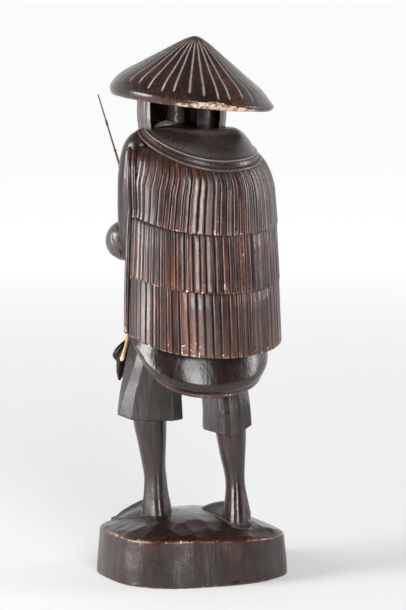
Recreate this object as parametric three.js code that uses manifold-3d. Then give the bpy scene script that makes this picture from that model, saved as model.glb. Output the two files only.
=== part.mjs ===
// Carved fisherman: a standing figure in a reed cape and a wide hat, cut with its base from one
// block of dark hardwood, and a loose bamboo rod through its left fist.
// Millimetres, +Z up. The origin is the middle of the base's underside. The figure faces -Y and
// its left side is +X. An angle around the body is 0 at the middle of the back and 90 at its left.

import * as THREE from 'three';
import { mergeVertices } from 'three/addons/utils/BufferGeometryUtils.js';
import Module from 'manifold-3d';

const wasm = await Module();
wasm.setup();

// Heights above the underside
const TOTAL_HEIGHT = 400;
const BASE_RIM = 34;
const MOUND_TOP = 47;
const TUNIC_HEM = 138.4;
const CAPE_HEM = 168.5;
const LOWER_BAND = 215.2;
const UPPER_BAND = 257.2;
const BORDER_LOW = 303.5;
const BORDER_HIGH = 311;
const SHOULDER_TOP = 332.6;

// Base: plan outline at the underside, how far its sides draw in, and the dip of its top
const BASE_PLAN = [
  [62.6, 18], [65, -10.5], [61, -35.5], [47, -51], [20, -57], [-18, -57], [-47, -49],
  [-62, -28], [-65, 4], [-62, 36], [-47, 50], [-20, 57], [14, 52], [44, 41],
];
const BASE_SIDES = 28;
const BASE_TAPER = 0.968;
const BASE_DIP = 3.2;
const BASE_DIP_TOWARD = -60;
const MOUND_CENTRE = [2, -2];

// Hat: a shallow cone that droops at its rim, tipped back and a little to the figure's right, with
// its apex off the middle. Profile points are [radius, drop below the apex, extra drop on the side
// the rim leans to].
const HAT_RADIUS = 61;
const HAT_APEX = [-6, -3, TOTAL_HEIGHT];
const HAT_TILT = 7.6;
const HAT_TILT_TOWARD = -31;
const HAT_RIM_OFFSET = 2.8;
const HAT_LEAN_TOWARD = -60;
const HAT_GROOVES = 34;
const HAT_GROOVE_DEPTH = 0.6;
const HAT_GROOVE_SHARE = 0.17;
const HAT_PROFILE = [
  [3.2, 0.6, 0], [9, 3.8, 0], [50.5, 31, 2.2], [57.8, 38.2, 3], [HAT_RADIUS, 44, 1], [59.8, 49.3, -1.6],
];
const HAT_GROOVED_ROWS = [1, 2];
const HAT_HOLLOW = [[56, 50], [54, 45.4], [22, 27]];
const HAT_HOLLOW_SIDES = 18;

// Reed cape: plan ellipse, the arc it covers, and its reeds
const CAPE_CENTRE = [-6, 6];
const YOKE_CENTRE = [-4.5, 6];
const CAPE_RIGHT_EDGE = -100;
const REEDS = 35;
const REED_DEPTH = 1.1;
const LIP = 1.6;

// Rod: radii at the butt and the tip, and the clearance in the fist
const ROD_BUTT_RADIUS = 1.75;
const ROD_TIP_RADIUS = 0.55;
const ROD_CLEARANCE = 0.3;
const ROD_SIDES = 8;
const ROD_ROWS = 16;

const radians = THREE.MathUtils.degToRad;

// A point on an ellipse round the vertical axis through (x, y).
function around(x, y, halfWidth, halfDepth, degrees, z) {
  const angle = radians(degrees);
  return new THREE.Vector3(x + halfWidth * Math.sin(angle), y + halfDepth * Math.cos(angle), z);
}

// A closed solid over a row of rings with equal numbers of points. Each end is closed by a fan, or
// across a thin curved band by strips from its outer to its inner edge.
function skin(rings, band = false) {
  const count = rings[0].length;
  const points = rings.flat();
  const lastRow = (rings.length - 1) * count;
  const faces = [];
  for (let i = 0; i < count; i += 1) {
    const next = (i + 1) % count;
    for (let row = 0; row < lastRow; row += count) {
      faces.push(row + i, row + next, row + count + next);
      faces.push(row + i, row + count + next, row + count + i);
    }
  }
  if (band) {
    for (let i = 0; i + 1 < count / 2; i += 1) {
      const [a, b, c, d] = [i, i + 1, count - 2 - i, count - 1 - i];
      faces.push(a, d, c, a, c, b);
      faces.push(lastRow + a, lastRow + b, lastRow + c, lastRow + a, lastRow + c, lastRow + d);
    }
  } else {
    const middle = (ring) => ring.reduce((sum, p) => sum.add(p), new THREE.Vector3()).divideScalar(count);
    const start = points.push(middle(rings[0])) - 1;
    const end = points.push(middle(rings[rings.length - 1])) - 1;
    for (let i = 0; i < count; i += 1) {
      const next = (i + 1) % count;
      faces.push(start, next, i, end, lastRow + i, lastRow + next);
    }
  }
  const volume = faces.reduce((sum, _, i) => {
    if (i % 3 !== 0) return sum;
    const [a, b, c] = [points[faces[i]], points[faces[i + 1]], points[faces[i + 2]]];
    return sum + a.dot(b.clone().cross(c));
  }, 0);
  if (volume < 0) faces.reverse();
  const geometry = new THREE.BufferGeometry().setFromPoints(points);
  geometry.setIndex(faces);
  return solidOf(geometry);
}

// The closed solid of a geometry, ready to be joined or cut.
function solidOf(geometry) {
  geometry.deleteAttribute('normal');
  geometry.deleteAttribute('uv');
  const merged = mergeVertices(geometry);
  const vertProperties = new Float32Array(merged.attributes.position.array);
  const triVerts = new Uint32Array(merged.index.array);
  return new wasm.Manifold(new wasm.Mesh({ numProp: 3, vertProperties, triVerts }));
}

const join = (solids) => solids.reduce((whole, piece) => whole.add(piece));

// A smooth walk along stations [x, y, z, half width, half depth].
function walk(stations) {
  const path = new THREE.CatmullRomCurve3(stations.map((s) => new THREE.Vector3(s[0], s[1], s[2])),
    false, 'catmullrom', 0.5);
  const sizes = new THREE.CatmullRomCurve3(stations.map((s) => new THREE.Vector3(s[3], s[4], 0)),
    false, 'catmullrom', 0.5);
  return { path, sizes };
}

// Upright form: level rings along the stations. shape gives a factor on the radius and lift a
// height, each from the angle in degrees and the way up from 0 to 1.
function stack(stations, sides, rows, shape = () => 1, lift = () => 0) {
  const { path, sizes } = walk(stations);
  const rings = [];
  for (let row = 0; row <= rows; row += 1) {
    const up = row / rows;
    const centre = path.getPoint(up);
    const size = sizes.getPoint(up);
    const ring = [];
    for (let i = 0; i < sides; i += 1) {
      const degrees = (360 * i) / sides;
      const factor = shape(degrees, up);
      ring.push(around(centre.x, centre.y, size.x * factor, size.y * factor, degrees,
        centre.z + lift(degrees, up)));
    }
    rings.push(ring);
  }
  return skin(rings);
}

// Limb: rings square to the path. The half width lies along side, the half depth across it.
function limb(stations, sides, rows, side) {
  const { path, sizes } = walk(stations);
  const rings = [];
  for (let row = 0; row <= rows; row += 1) {
    const along = row / rows;
    const centre = path.getPoint(along);
    const size = sizes.getPoint(along);
    const tangent = path.getTangent(along);
    const across = new THREE.Vector3().crossVectors(tangent, side).normalize();
    const wide = new THREE.Vector3().crossVectors(across, tangent).normalize();
    const ring = [];
    for (let i = 0; i < sides; i += 1) {
      const angle = (2 * Math.PI * i) / sides;
      ring.push(centre.clone()
        .addScaledVector(wide, Math.cos(angle) * size.x)
        .addScaledVector(across, Math.sin(angle) * size.y));
    }
    rings.push(ring);
  }
  return skin(rings);
}

// An egg-shaped lump, turned about the vertical.
function lump(x, y, z, sizeX, sizeY, sizeZ, turn = 0) {
  const geometry = new THREE.SphereGeometry(1, 8, 5);
  geometry.scale(sizeX, sizeY, sizeZ);
  geometry.rotateX(Math.PI / 2);
  geometry.rotateZ(radians(turn));
  geometry.translate(x, y, z);
  return solidOf(geometry);
}

// Base: an uneven rounded block whose top swells into a worn mound.
function base() {
  const outline = new THREE.CatmullRomCurve3(BASE_PLAN.map(([x, y]) => new THREE.Vector3(x, y, 0)), true);
  const plan = outline.getPoints(BASE_SIDES).slice(0, BASE_SIDES);
  const levels = [
    [0.985, 0], [1, 2.5], [BASE_TAPER, BASE_RIM - 1.5], [0.94, BASE_RIM + 1],
    [0.78, 39.2], [0.55, 43.4], [0.26, MOUND_TOP],
  ];
  const dipSide = around(0, 0, 1, 1, BASE_DIP_TOWARD, 0);
  const rings = levels.map(([scale, z]) => plan.map((p) => {
    const dip = z > BASE_RIM / 2 ? BASE_DIP * scale * Math.max(0, p.dot(dipSide) / p.length()) : 0;
    return new THREE.Vector3(
      MOUND_CENTRE[0] * (1 - scale) + p.x * scale,
      MOUND_CENTRE[1] * (1 - scale) + p.y * scale,
      z - dip,
    );
  }));
  return skin(rings);
}

// A bare foot: sections from the heel to the toes, flat below. The toes fan a little.
function foot(heel, toe, footHeight) {
  const along = new THREE.Vector3(toe[0] - heel[0], toe[1] - heel[1], toe[2] - heel[2]);
  const side = new THREE.Vector3(-along.y, along.x, 0).normalize();
  const sections = [
    [0, 0.5, 5.5], [0.1, 1, 8.2], [0.3, 1.45, 9], [0.52, 1.2, 9.6],
    [0.74, 0.78, 11.4], [0.92, 0.44, 11.2], [1, 0.2, 8.6],
  ];
  const sides = 12;
  const rings = sections.map(([place, height, halfWidth]) => {
    const ring = [];
    for (let i = 0; i < sides; i += 1) {
      const angle = (2 * Math.PI * i) / sides;
      const up = Math.max(Math.sin(angle), -0.35) * footHeight * height;
      const p = new THREE.Vector3(...heel).addScaledVector(along, place);
      p.addScaledVector(side, Math.cos(angle) * halfWidth);
      p.z += up;
      ring.push(p);
    }
    return ring;
  });
  return skin(rings);
}

// Shins and feet. Both legs are bare from the knee down.
function bareLegs() {
  const leftShin = [
    [27, -16.4, 130, 12.6, 13], [26, -15.4, 112, 11.8, 12.4], [25.2, -14.4, 97, 10.2, 11.6],
    [24.6, -13.4, 82, 8.2, 9.8], [24, -12.4, 72, 7.8, 9], [22.8, -11.8, 60, 8.6, 10], [20, -11, 46, 9.4, 12],
  ];
  const rightShin = [
    [-20.5, 20, 124, 12.4, 13], [-21.6, 21.8, 104, 10.6, 11.6], [-22.2, 22.8, 90, 9.2, 10.6],
    [-22.8, 24.2, 78, 7.2, 8.8], [-23, 25.2, 68, 7.2, 8.8], [-24.2, 27.2, 55, 8.6, 10], [-24.2, 29.4, 42, 8.2, 11],
  ];
  const leftFoot = foot([14, -5, 43], [37, -49, 37], 12);
  const rightFoot = foot([-27.5, 39, 37], [-20, -13, 44], 12);
  return [stack(leftShin, 11, 6), stack(rightShin, 11, 6), leftFoot, rightFoot];
}

// Loose knee-length trousers: each leg flares to its hem, with flat folds cut down it.
function trousers() {
  const leftLeg = [
    [26, -16.5, 120.5, 25.2, 22.5], [26, -16.5, 122.5, 26, 23.2], [25.5, -15.5, 138, 24.6, 22.6],
    [22, -11, 157, 23.6, 22.4], [15, -4, 177, 25, 26],
  ];
  const rightLeg = [
    [-20.2, 18.4, 110, 17.6, 16.6], [-20.2, 18.4, 112, 18.6, 17.6], [-20.2, 17.4, 130, 18.6, 18],
    [-19, 13.6, 150, 20, 20], [-14, 8, 175, 24, 26],
  ];
  const folds = (count, start, depth) => (degrees, up) => (
    1 - depth * (1 - 0.6 * up) * Math.abs(Math.sin(radians((degrees - start) * count / 2)))
  );
  const sag = (degrees) => -4 * Math.cos(radians(degrees - 12));
  return [
    stack(leftLeg, 20, 4, folds(8, 10, 0.07), (degrees) => 0.25 * sag(degrees)),
    stack(rightLeg, 20, 4, folds(8, 30, 0.085), sag),
  ];
}

// Tunic skirt: full over the seat, its hem low behind and swept up at both sides.
function tunic() {
  const form = [
    [-4, 5, TUNIC_HEM + 4, 38, 33], [-4, 5, TUNIC_HEM, 44.5, 39], [-4.4, 4.6, TUNIC_HEM + 1.4, 47.4, 41],
    [-4.6, 4, TUNIC_HEM + 11, 52, 43.6], [-4.6, 3.4, TUNIC_HEM + 27, 53.8, 43.4],
    [-3.4, 1.5, TUNIC_HEM + 48, 47, 39], [-2, 0, TUNIC_HEM + 64, 42, 36],
  ];
  const sweep = (degrees, up) => 30 * (1 - Math.cos(radians(degrees - 9))) * (1 - up) ** 1.6;
  return stack(form, 26, 6, () => 1, sweep);
}

// Body under the cape, from the hips to the root of the neck.
function torso() {
  return stack([
    [-2, 0, 180, 44, 38], [-2, -1, 222, 41, 35], [-1, -1, 250, 41, 34], [0, -2, 280, 43, 34],
    [0, -3, 306, 40, 33], [1, -6, 320, 34, 29], [3, -12, 331, 24, 21], [4, -16, 336, 12, 11],
  ], 14, 5);
}

// The cape's ring at one level. Its edges rise from the middle of the back by rise on each side,
// and reeds are cut into it only where reed is true.
function capeRing({ z, rise, size, leftEdge, reed }) {
  const reedShape = [[0, 1], [0.5, 0]];
  const place = (degrees, cut, x = 1, y = 1) => {
    const lift = (degrees > 0 ? rise[0] : rise[1]) * (1 - Math.cos(radians(degrees)));
    return around(...CAPE_CENTRE, (size[0] - cut) * x, (size[1] - cut) * y, degrees, z + lift);
  };
  const ring = [];
  for (let i = 0; i < REEDS; i += 1) {
    for (const [part, cut] of reedShape) {
      const degrees = CAPE_RIGHT_EDGE + ((leftEdge - CAPE_RIGHT_EDGE) * (i + part)) / REEDS;
      ring.push(place(degrees, reed ? cut * REED_DEPTH : 0));
    }
  }
  ring.push(place(leftEdge, 0), place(leftEdge, 0, 0.62, 0.3), place(CAPE_RIGHT_EDGE, 0, 0.62, 0.3));
  return ring;
}

// Three tiers of reeds, each lapping over the one below.
function capeReeds() {
  const tierRings = (z, rise, [halfWidth, halfDepth], leftEdge) => [
    { z: z - 1, rise, size: [halfWidth - LIP, halfDepth - LIP], leftEdge, reed: true },
    { z, rise, size: [halfWidth, halfDepth], leftEdge, reed: true },
  ];
  return skin([
    { z: CAPE_HEM, rise: [15, 12], size: [56, 45], leftEdge: 95, reed: false },
    { z: CAPE_HEM + 1, rise: [15, 12], size: [61.8, 50.4], leftEdge: 95, reed: true },
    ...tierRings(LOWER_BAND, [12, 11], [61.2, 50.2], 95.5),
    ...tierRings(UPPER_BAND, [13, 9], [59.4, 48.8], 91),
    { z: 283, rise: [18, 10], size: [56, 46.2], leftEdge: 88, reed: true },
    { z: BORDER_LOW - 1, rise: [22, 11], size: [47.8, 41], leftEdge: 86, reed: true },
  ].map(capeRing));
}

// Smooth yoke over the shoulders, edged by a rolled border between two ridges.
function capeYoke() {
  const levels = [
    [BORDER_LOW - 4, 22, 11, 43, 39], [BORDER_LOW, 22, 11, 46.2, 42], [BORDER_LOW + 3.6, 21, 10, 43.6, 40],
    [BORDER_HIGH, 20, 9, 42.6, 39.2], [BORDER_HIGH + 1.6, 19, 8, 39.8, 36.8], [320, 14, 6, 35.4, 32],
    [328, 6, 3, 29.4, 25], [SHOULDER_TOP, 0, 0, 25, 18],
  ];
  const sides = 26;
  const frontShare = 0.55;
  const rings = levels.map(([z, riseLeft, riseRight, halfWidth, halfDepth]) => {
    const ring = [];
    for (let i = 0; i < sides; i += 1) {
      const degrees = -180 + (360 * i) / sides;
      const turned = Math.min(Math.abs(degrees), 110);
      const lift = (degrees > 0 ? riseLeft : riseRight) * (1 - Math.cos(radians(turned)));
      const depth = turned > 100 ? halfDepth * frontShare : halfDepth;
      ring.push(around(...YOKE_CENTRE, halfWidth, depth, degrees, Math.min(z + lift, SHOULDER_TOP)));
    }
    return ring;
  });
  return skin(rings);
}

// Left arm: a full sleeve down to the bent elbow, a gathered cuff, and a fist closed on the rod.
function leftArm() {
  const down = new THREE.Vector3(0, 0, 1);
  const outward = new THREE.Vector3(1, 0, 0);
  const sleeve = limb([
    [33, -4, 329, 8.5, 8], [37, -7, 318, 14, 13], [39.6, -11, 300, 13.4, 13.5], [40, -14, 280, 12, 13],
    [39, -16, 262, 11.6, 13], [38, -18, 246, 10.4, 11.5], [38, -19, 238, 5, 6],
  ], 12, 7, outward);
  const cuff = limb([
    [39, -12, 245, 8, 8], [42, -18, 246, 12, 14], [42, -27, 246.4, 15, 15],
    [37, -35, 247, 13.4, 12], [32, -40, 248, 9.5, 8.4],
  ], 12, 5, down);
  const wrist = limb([
    [34, -38, 248, 6.5, 5.5], [28, -42, 248, 6.4, 5.6], [23, -45, 247.5, 7.6, 6],
  ], 10, 3, down);
  return [sleeve, cuff, wrist, fist([19.6, -47.4, 247.2], [0.1, 0.1, 1], 7.6, 6, 16)];
}

// A closed hand: four fingers side by side along the axis, cut as rings in and out.
function fist(centre, axis, halfWidth, halfDepth, length) {
  const fingers = 4;
  const direction = new THREE.Vector3(...axis).normalize();
  const stations = [];
  for (let i = 0; i <= 2 * fingers; i += 1) {
    const along = length * (i / (2 * fingers) - 0.5);
    const end = i === 0 || i === 2 * fingers;
    const share = end ? 0.72 : (i % 2 === 0 ? 0.9 : 1.04);
    const p = new THREE.Vector3(...centre).addScaledVector(direction, along);
    stations.push([p.x, p.y, p.z, halfWidth * share, halfDepth * share]);
  }
  return limb(stations, 8, 2 * fingers, new THREE.Vector3(1, -0.25, 0));
}

// Right arm: hidden to the elbow by the cape, its forearm laid across the belly.
function rightArm() {
  const down = new THREE.Vector3(0, 0, 1);
  const outward = new THREE.Vector3(1, 0, 0);
  const sleeve = limb([
    [-33, -4, 325, 7, 8], [-39, -7, 311, 12, 12.5], [-45, -12, 286, 12, 12.5], [-47, -18, 262, 12, 13],
    [-46, -22, 244, 10, 11], [-44, -24, 236, 5, 6],
  ], 12, 6, outward);
  const cuff = limb([
    [-50, -14, 248, 8, 8], [-47, -23, 243, 13.6, 12], [-39, -32, 236, 13.4, 11.4],
    [-29, -38, 228, 10.6, 9],
  ], 12, 5, down);
  const wrist = limb([
    [-30, -38, 228, 6.4, 5.6], [-22, -43, 221, 6.2, 5.4], [-14, -46.5, 213, 7.4, 5.4],
  ], 10, 3, down);
  return [sleeve, cuff, wrist, fist([-8, -48.6, 208.4], [0.72, 0.05, -0.6], 8.4, 5, 15)];
}

// A fish held against the belly by the right hand, its forked tail out past the left hip.
function fish() {
  const up = new THREE.Vector3(0.6, 0, 0.8);
  const body = limb([
    [-27, -44, 221, 1.6, 1.6], [-20, -45, 216.5, 7.4, 5], [-8, -45.5, 207, 10.6, 7], [7, -44, 194, 10.6, 7],
    [21, -42, 181, 7, 5], [31, -40, 171, 4, 3], [35, -39.5, 166.5, 3.6, 2.4],
  ], 10, 7, up);
  const root = [33, -39.8, 170];
  const lobe = (tip) => limb([
    [...root, 4, 2.6], ...[0.5, 0.85, 1].map((share, i) => [
      ...root.map((value, axis) => value + (tip[axis] - value) * share), [6.4, 6, 2.6][i], [2.6, 2.2, 1.2][i],
    ]),
  ], 8, 3, new THREE.Vector3(0.75, 0.2, 0.65));
  return [body, lobe([42.4, -42.5, 158]), lobe([37, -40.5, 146])];
}

// Crossed lapels on the chest and a knotted sash round the waist.
function robeDetails() {
  const sash = stack([
    [-1, -1, 224, 42.4, 35], [-1, -1, 227, 43.6, 36.6], [-1, -1, 236, 43.6, 36.6], [-1, -1, 239, 42, 35],
  ], 18, 3);
  const section = new THREE.Shape([
    new THREE.Vector2(-1.8, -3.6), new THREE.Vector2(1.8, -3.6),
    new THREE.Vector2(1.8, 3.6), new THREE.Vector2(-1.8, 3.6),
  ]);
  const lapel = (side) => {
    const path = new THREE.CatmullRomCurve3([
      new THREE.Vector3(3 + side * 19, -20, 331), new THREE.Vector3(2 + side * 17, -31.5, 316),
      new THREE.Vector3(1 + side * 9, -35, 296), new THREE.Vector3(-side * 4, -35.6, 270),
      new THREE.Vector3(-side * 12, -33, 240),
    ]);
    const geometry = new THREE.ExtrudeGeometry(section, { steps: 7, bevelEnabled: false, extrudePath: path });
    return solidOf(geometry);
  };
  return [sash, lapel(1), lapel(-1), lump(-3, -37.5, 231, 7, 4.4, 6)];
}

// Head bowed under the hat: an egg narrowing to the chin, with brow, nose, lips and eye hollows.
const HEAD = { x: 2, y: -28, z: 359, width: 18, depth: 18, height: 26, turn: -18 };

function headPoint(longitude, latitude) {
  const { width, depth, height } = HEAD;
  const sideways = Math.sin(longitude) * Math.cos(latitude);
  const forward = -Math.cos(longitude) * Math.cos(latitude);
  const up = Math.sin(latitude);
  const jaw = 1 - 0.2 * Math.max(0, -up) ** 1.5;
  const facing = Math.max(0, -forward);
  const bump = (x, z, sizeX, sizeZ) => Math.exp(-(((sideways - x) / sizeX) ** 2) - (((up - z) / sizeZ) ** 2));
  const nose = 4.6 * bump(0, -0.18, 0.13, 0.13) + 2.6 * bump(0, 0.02, 0.09, 0.2);
  const brow = 1.1 * (bump(0.34, 0.2, 0.3, 0.08) + bump(-0.34, 0.2, 0.3, 0.08));
  const eyes = -1.9 * (bump(0.34, 0.03, 0.17, 0.1) + bump(-0.34, 0.03, 0.17, 0.1));
  const lips = 1.6 * bump(0, -0.47, 0.26, 0.07) + 1.5 * bump(0, -0.78, 0.22, 0.14);
  const relief = facing > 0.2 ? nose + brow + eyes + lips : 0;
  const local = new THREE.Vector3(sideways * width * jaw, forward * depth - relief, up * height);
  local.applyAxisAngle(new THREE.Vector3(0, 0, 1), radians(HEAD.turn));
  return local.add(new THREE.Vector3(HEAD.x, HEAD.y, HEAD.z));
}

function head() {
  const columns = 20;
  const rows = 12;
  const rings = [];
  for (let row = 1; row < rows; row += 1) {
    const latitude = -Math.PI / 2 + (Math.PI * row) / rows;
    const ring = [];
    for (let i = 0; i < columns; i += 1) {
      ring.push(headPoint((2 * Math.PI * i) / columns, latitude));
    }
    rings.push(ring);
  }
  const neck = stack([
    [4, -13, 328, 15, 13], [6, -13, 336, 7.6, 7.6], [6, -13.4, 345, 6.2, 6.4], [5.6, -14, 366, 6.6, 8],
  ], 10, 4);
  return [skin(rings), neck];
}

// Head-cloth: two curtains hang from under the hat past the cheeks, parted behind, and each turns
// in to the jaw in front.
function headCloth() {
  const centre = [0.2, -13.7];
  const thickness = 5;
  const columns = 4;
  const curtain = (from, to) => {
    const ringAt = ([z, swell]) => {
      const outer = [];
      const inner = [];
      for (let i = 0; i <= columns; i += 1) {
        const degrees = from + ((to - from) * i) / columns;
        const turnedIn = Math.max(0, Math.abs(degrees) - 105) / 45;
        const radius = (33.4 - 10 * turnedIn ** 1.4) * swell;
        outer.push(around(...centre, radius, radius, degrees, z));
        inner.push(around(...centre, radius - thickness, radius - thickness, degrees, z));
      }
      return { outer, inner };
    };
    const rings = [[329, 0.96], [340, 1], [368, 0.98]].map(ringAt);
    return skin(rings.map(({ outer, inner }) => [...outer, ...inner.reverse()]), true);
  };
  return [curtain(84, 150), curtain(-30, -150)];
}

// Hat: radial grooves are V cuts between two rows of its profile. It is hollowed below.
function hat() {
  const columns = [];
  for (let i = 0; i < HAT_GROOVES; i += 1) {
    columns.push([i - HAT_GROOVE_SHARE / 2, 0], [i, 1], [i + HAT_GROOVE_SHARE / 2, 0]);
  }
  const tiltAxis = around(0, 0, 1, 1, HAT_TILT_TOWARD + 90, 0);
  const offset = around(0, 0, HAT_RIM_OFFSET, HAT_RIM_OFFSET, HAT_LEAN_TOWARD, 0);
  const rimDrop = HAT_PROFILE[HAT_PROFILE.length - 1][1];
  const onFigure = (p, drop) => p
    .addScaledVector(offset, drop / rimDrop)
    .applyAxisAngle(tiltAxis, radians(-HAT_TILT))
    .add(new THREE.Vector3(...HAT_APEX));
  const crown = skin(HAT_PROFILE.map(([radius, drop, lean], row) => columns.map(([place, cut]) => {
    const degrees = (360 * place) / HAT_GROOVES;
    const leaning = lean * (0.5 + 0.5 * Math.cos(radians(degrees - HAT_LEAN_TOWARD)));
    const depth = HAT_GROOVED_ROWS.includes(row) ? cut * HAT_GROOVE_DEPTH : 0;
    return onFigure(around(0, 0, radius, radius, degrees, -drop - leaning - depth), drop);
  })));
  const hollowRings = HAT_HOLLOW.map(([radius, drop]) => {
    const ring = [];
    for (let i = 0; i < HAT_HOLLOW_SIDES; i += 1) {
      ring.push(onFigure(around(0, 0, radius, radius, (360 * i) / HAT_HOLLOW_SIDES, -drop), drop));
    }
    return ring;
  });
  return crown.subtract(skin(hollowRings));
}

// Rod: a slender naturally bent cane, thickest at the butt, with a small swelling at each joint.
const ROD_PATH = [
  [45.6, -24, 160], [37.4, -28.6, 178], [27.4, -36.6, 212], [21.2, -45.2, 247],
  [23.6, -53, 280], [28.8, -59.4, 306], [31.8, -62.8, 320], [39.3, -71.2, 355],
];

function rodSolid(extra) {
  const last = ROD_PATH.length - 1;
  const stations = ROD_PATH.map(([x, y, z], i) => {
    const radius = ROD_BUTT_RADIUS + ((ROD_TIP_RADIUS - ROD_BUTT_RADIUS) * i) / last + extra;
    return [x, y, z, radius, radius];
  });
  return limb(stations, ROD_SIDES, ROD_ROWS, new THREE.Vector3(1, 0, 0));
}

// A named mesh from a solid.
function meshOf(name, solid, color, roughness) {
  const result = solid.getMesh();
  const geometry = new THREE.BufferGeometry();
  geometry.setAttribute('position', new THREE.Float32BufferAttribute(result.vertProperties, 3));
  geometry.setIndex(new THREE.Uint32BufferAttribute(result.triVerts, 1));
  geometry.computeVertexNormals();
  const material = new THREE.MeshStandardMaterial({ color, roughness, metalness: 0 });
  const mesh = new THREE.Mesh(geometry, material);
  mesh.name = name;
  return mesh;
}

function carvedFigure() {
  const whole = join([
    base(), ...bareLegs(), ...trousers(), tunic(), torso(), capeReeds(), capeYoke(),
    ...leftArm(), ...rightArm(), ...fish(), ...robeDetails(), ...head(), ...headCloth(), hat(),
  ]);
  return whole.subtract(rodSolid(ROD_CLEARANCE));
}

const fisherman = new THREE.Group();
fisherman.add(meshOf('carved_figure', carvedFigure(), 0x2c201b, 0.42));
fisherman.add(meshOf('fishing_rod', rodSolid(0), 0xb98f52, 0.55));

export default fisherman;
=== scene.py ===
import math

import bpy
import numpy as np
from mathutils import Matrix, Vector


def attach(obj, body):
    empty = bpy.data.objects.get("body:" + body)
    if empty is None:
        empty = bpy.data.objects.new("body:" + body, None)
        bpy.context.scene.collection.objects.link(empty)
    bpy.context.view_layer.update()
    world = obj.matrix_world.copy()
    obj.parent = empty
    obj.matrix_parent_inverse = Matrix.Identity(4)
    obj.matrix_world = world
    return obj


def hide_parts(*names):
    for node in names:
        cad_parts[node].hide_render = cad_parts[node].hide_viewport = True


# Carved fisherman: a figure in a reed cape and a wide hat, cut with its base from one block of dark
# hardwood, and a loose cane rod through its left fist. Forms are worked out in millimetres as rings
# of points, shape (rows, columns, 3), and become metres when the mesh is made. The figure faces -Y
# and its left side is +X. An angle round the body is 0 at the middle of the back and 90 at its left.

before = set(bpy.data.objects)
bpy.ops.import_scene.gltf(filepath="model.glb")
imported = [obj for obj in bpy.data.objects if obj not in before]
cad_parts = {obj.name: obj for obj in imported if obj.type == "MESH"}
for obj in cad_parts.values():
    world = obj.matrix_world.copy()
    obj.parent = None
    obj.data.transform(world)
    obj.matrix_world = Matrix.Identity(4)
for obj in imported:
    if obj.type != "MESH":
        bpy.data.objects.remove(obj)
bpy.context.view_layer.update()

MM = 0.001
SEED = 11

# Heights above the underside
TOTAL_HEIGHT = 400
BASE_RIM = 34
MOUND_TOP = 47
TUNIC_HEM = 138.4
CAPE_HEM = 168.5
LOWER_BAND = 215.2
UPPER_BAND = 257.2
BORDER_LOW = 303.5
BORDER_HIGH = 311
SHOULDER_TOP = 332.6

# Degrees round the body at which the camera stands
CAMERA_BEARING = 30

# Base: plan outline at the underside, how far its sides draw in, and the dip of its top
BASE_PLAN = [
    [62.6, 18], [65, -10.5], [61, -35.5], [47, -51], [20, -57], [-18, -57], [-47, -49],
    [-62, -28], [-65, 4], [-62, 36], [-47, 50], [-20, 57], [14, 52], [44, 41],
]
BASE_TAPER = 0.968
BASE_DIP = 3.2
BASE_DIP_TOWARD = -60
MOUND_CENTRE = (2, -2)

# Feet: heel and toe of the left and the right sole, half a sole's width at the heel and how much it
# grows by the toes, a foot's height, the ridge left round it (its distance from the sole, the share of
# the sole it ends at, and how fast it fades past that), and the shade painted on the feet: how dark it
# is, and how far beside a sole's line and how high up it reaches
SOLES = [([15.5, -5.5, 43], [39, -42.5, 36.5]), ([-26.5, 37, 37], [-20, -11, 42.6])]
SOLE_HALF_WIDTH = 9.5
SOLE_SPREAD = 1.5
FOOT_HEIGHT = 11
RIDGE_GAP = 2.2
RIDGE_END = 0.7
RIDGE_FADE = 60
FEET_SHADE_DARKNESS = 0.7
FEET_SHADE_REACH = 16
FEET_SHADE_TOP = 70

# Trousers: points along each side of the plan, rows from the hem up, and the row of the hem's edge
TROUSER_SIDE_POINTS = 14
TROUSER_ROWS = 54
TROUSER_EDGE_ROW = 17

# Tunic: how far its hem is swept up at the left and at the right, and most in front, its rows and
# columns of points, and the row of its rubbed lip
TUNIC_SWEEP_LEFT = 28
TUNIC_SWEEP_RIGHT = 15
TUNIC_SWEEP_MOST = 30
TUNIC_ROWS = 84
TUNIC_COLUMNS = 168
TUNIC_LIP_ROW = 29

# Hat: its profile is [radius, drop below the apex, extra drop on the side the rim leans to], from the
# apex over the rim and up into the hollow. It is tipped by the tilt towards one side, and the rim is
# shifted by the offset towards the side it leans to. A groove starts and ends at those radii.
HAT_APEX = (-6, -3, TOTAL_HEIGHT)
HAT_TILT = 7.1
HAT_TILT_TOWARD = -50
HAT_LEAN_TOWARD = -60
HAT_RIM_OFFSET = 2.8
HAT_RIM_DROP = 49.3
HAT_PROFILE = [
    [0.6, 0.45, 0], [3.2, 1.0, 0], [9, 3.95, 0], [19.4, 10.6, 0.55], [29.8, 17.4, 1.1],
    [40.1, 24.2, 1.65], [50.5, 31, 2.2], [57.4, 37.6, 2.9], [60.5, 42.6, 1.3], [60.9, 45, 0.2],
    [60.1, 47.9, -1.2], [58.6, 49.5, -1.6], [57.4, 49.1, -1.5], [55, 46, -0.6], [38, 36, 0], [22, 27, 0],
    [1, 24, 0],
]
HAT_GROOVES = 34
HAT_GROOVE_DEPTH = 0.6
HAT_GROOVE_WIDTH = 0.55
HAT_GROOVE_START = 5
HAT_GROOVE_END = 58.6
HAT_SHORT_GROOVE = 30
HAT_SHORTENED_BY = 12

# Reed cape: the middles of its tiers and of the yoke, its right edge in degrees, its upper end as
# [level, half width, half depth, left edge in degrees], how far its levels rise to the left and to the
# right, the reeds of a tier, the depth of the cuts between them, and how far a tier's lip stands out
CAPE_CENTRE = (-6, 6)
YOKE_CENTRE = (-4.5, 6)
CAPE_RIGHT_EDGE = -100
CAPE_SHOULDER = [
    [283, 56.2, 46.4, 89], [290, 54.3, 45.2, 88], [296.5, 51.6, 43.6, 88.5], [302, 48.4, 41.4, 91],
    [306, 44.4, 39, 95],
]
CAPE_RISE = (14.5, 9.6)
REEDS = 35
REED_DEPTH = 1.2
LIP = 0.75

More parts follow.
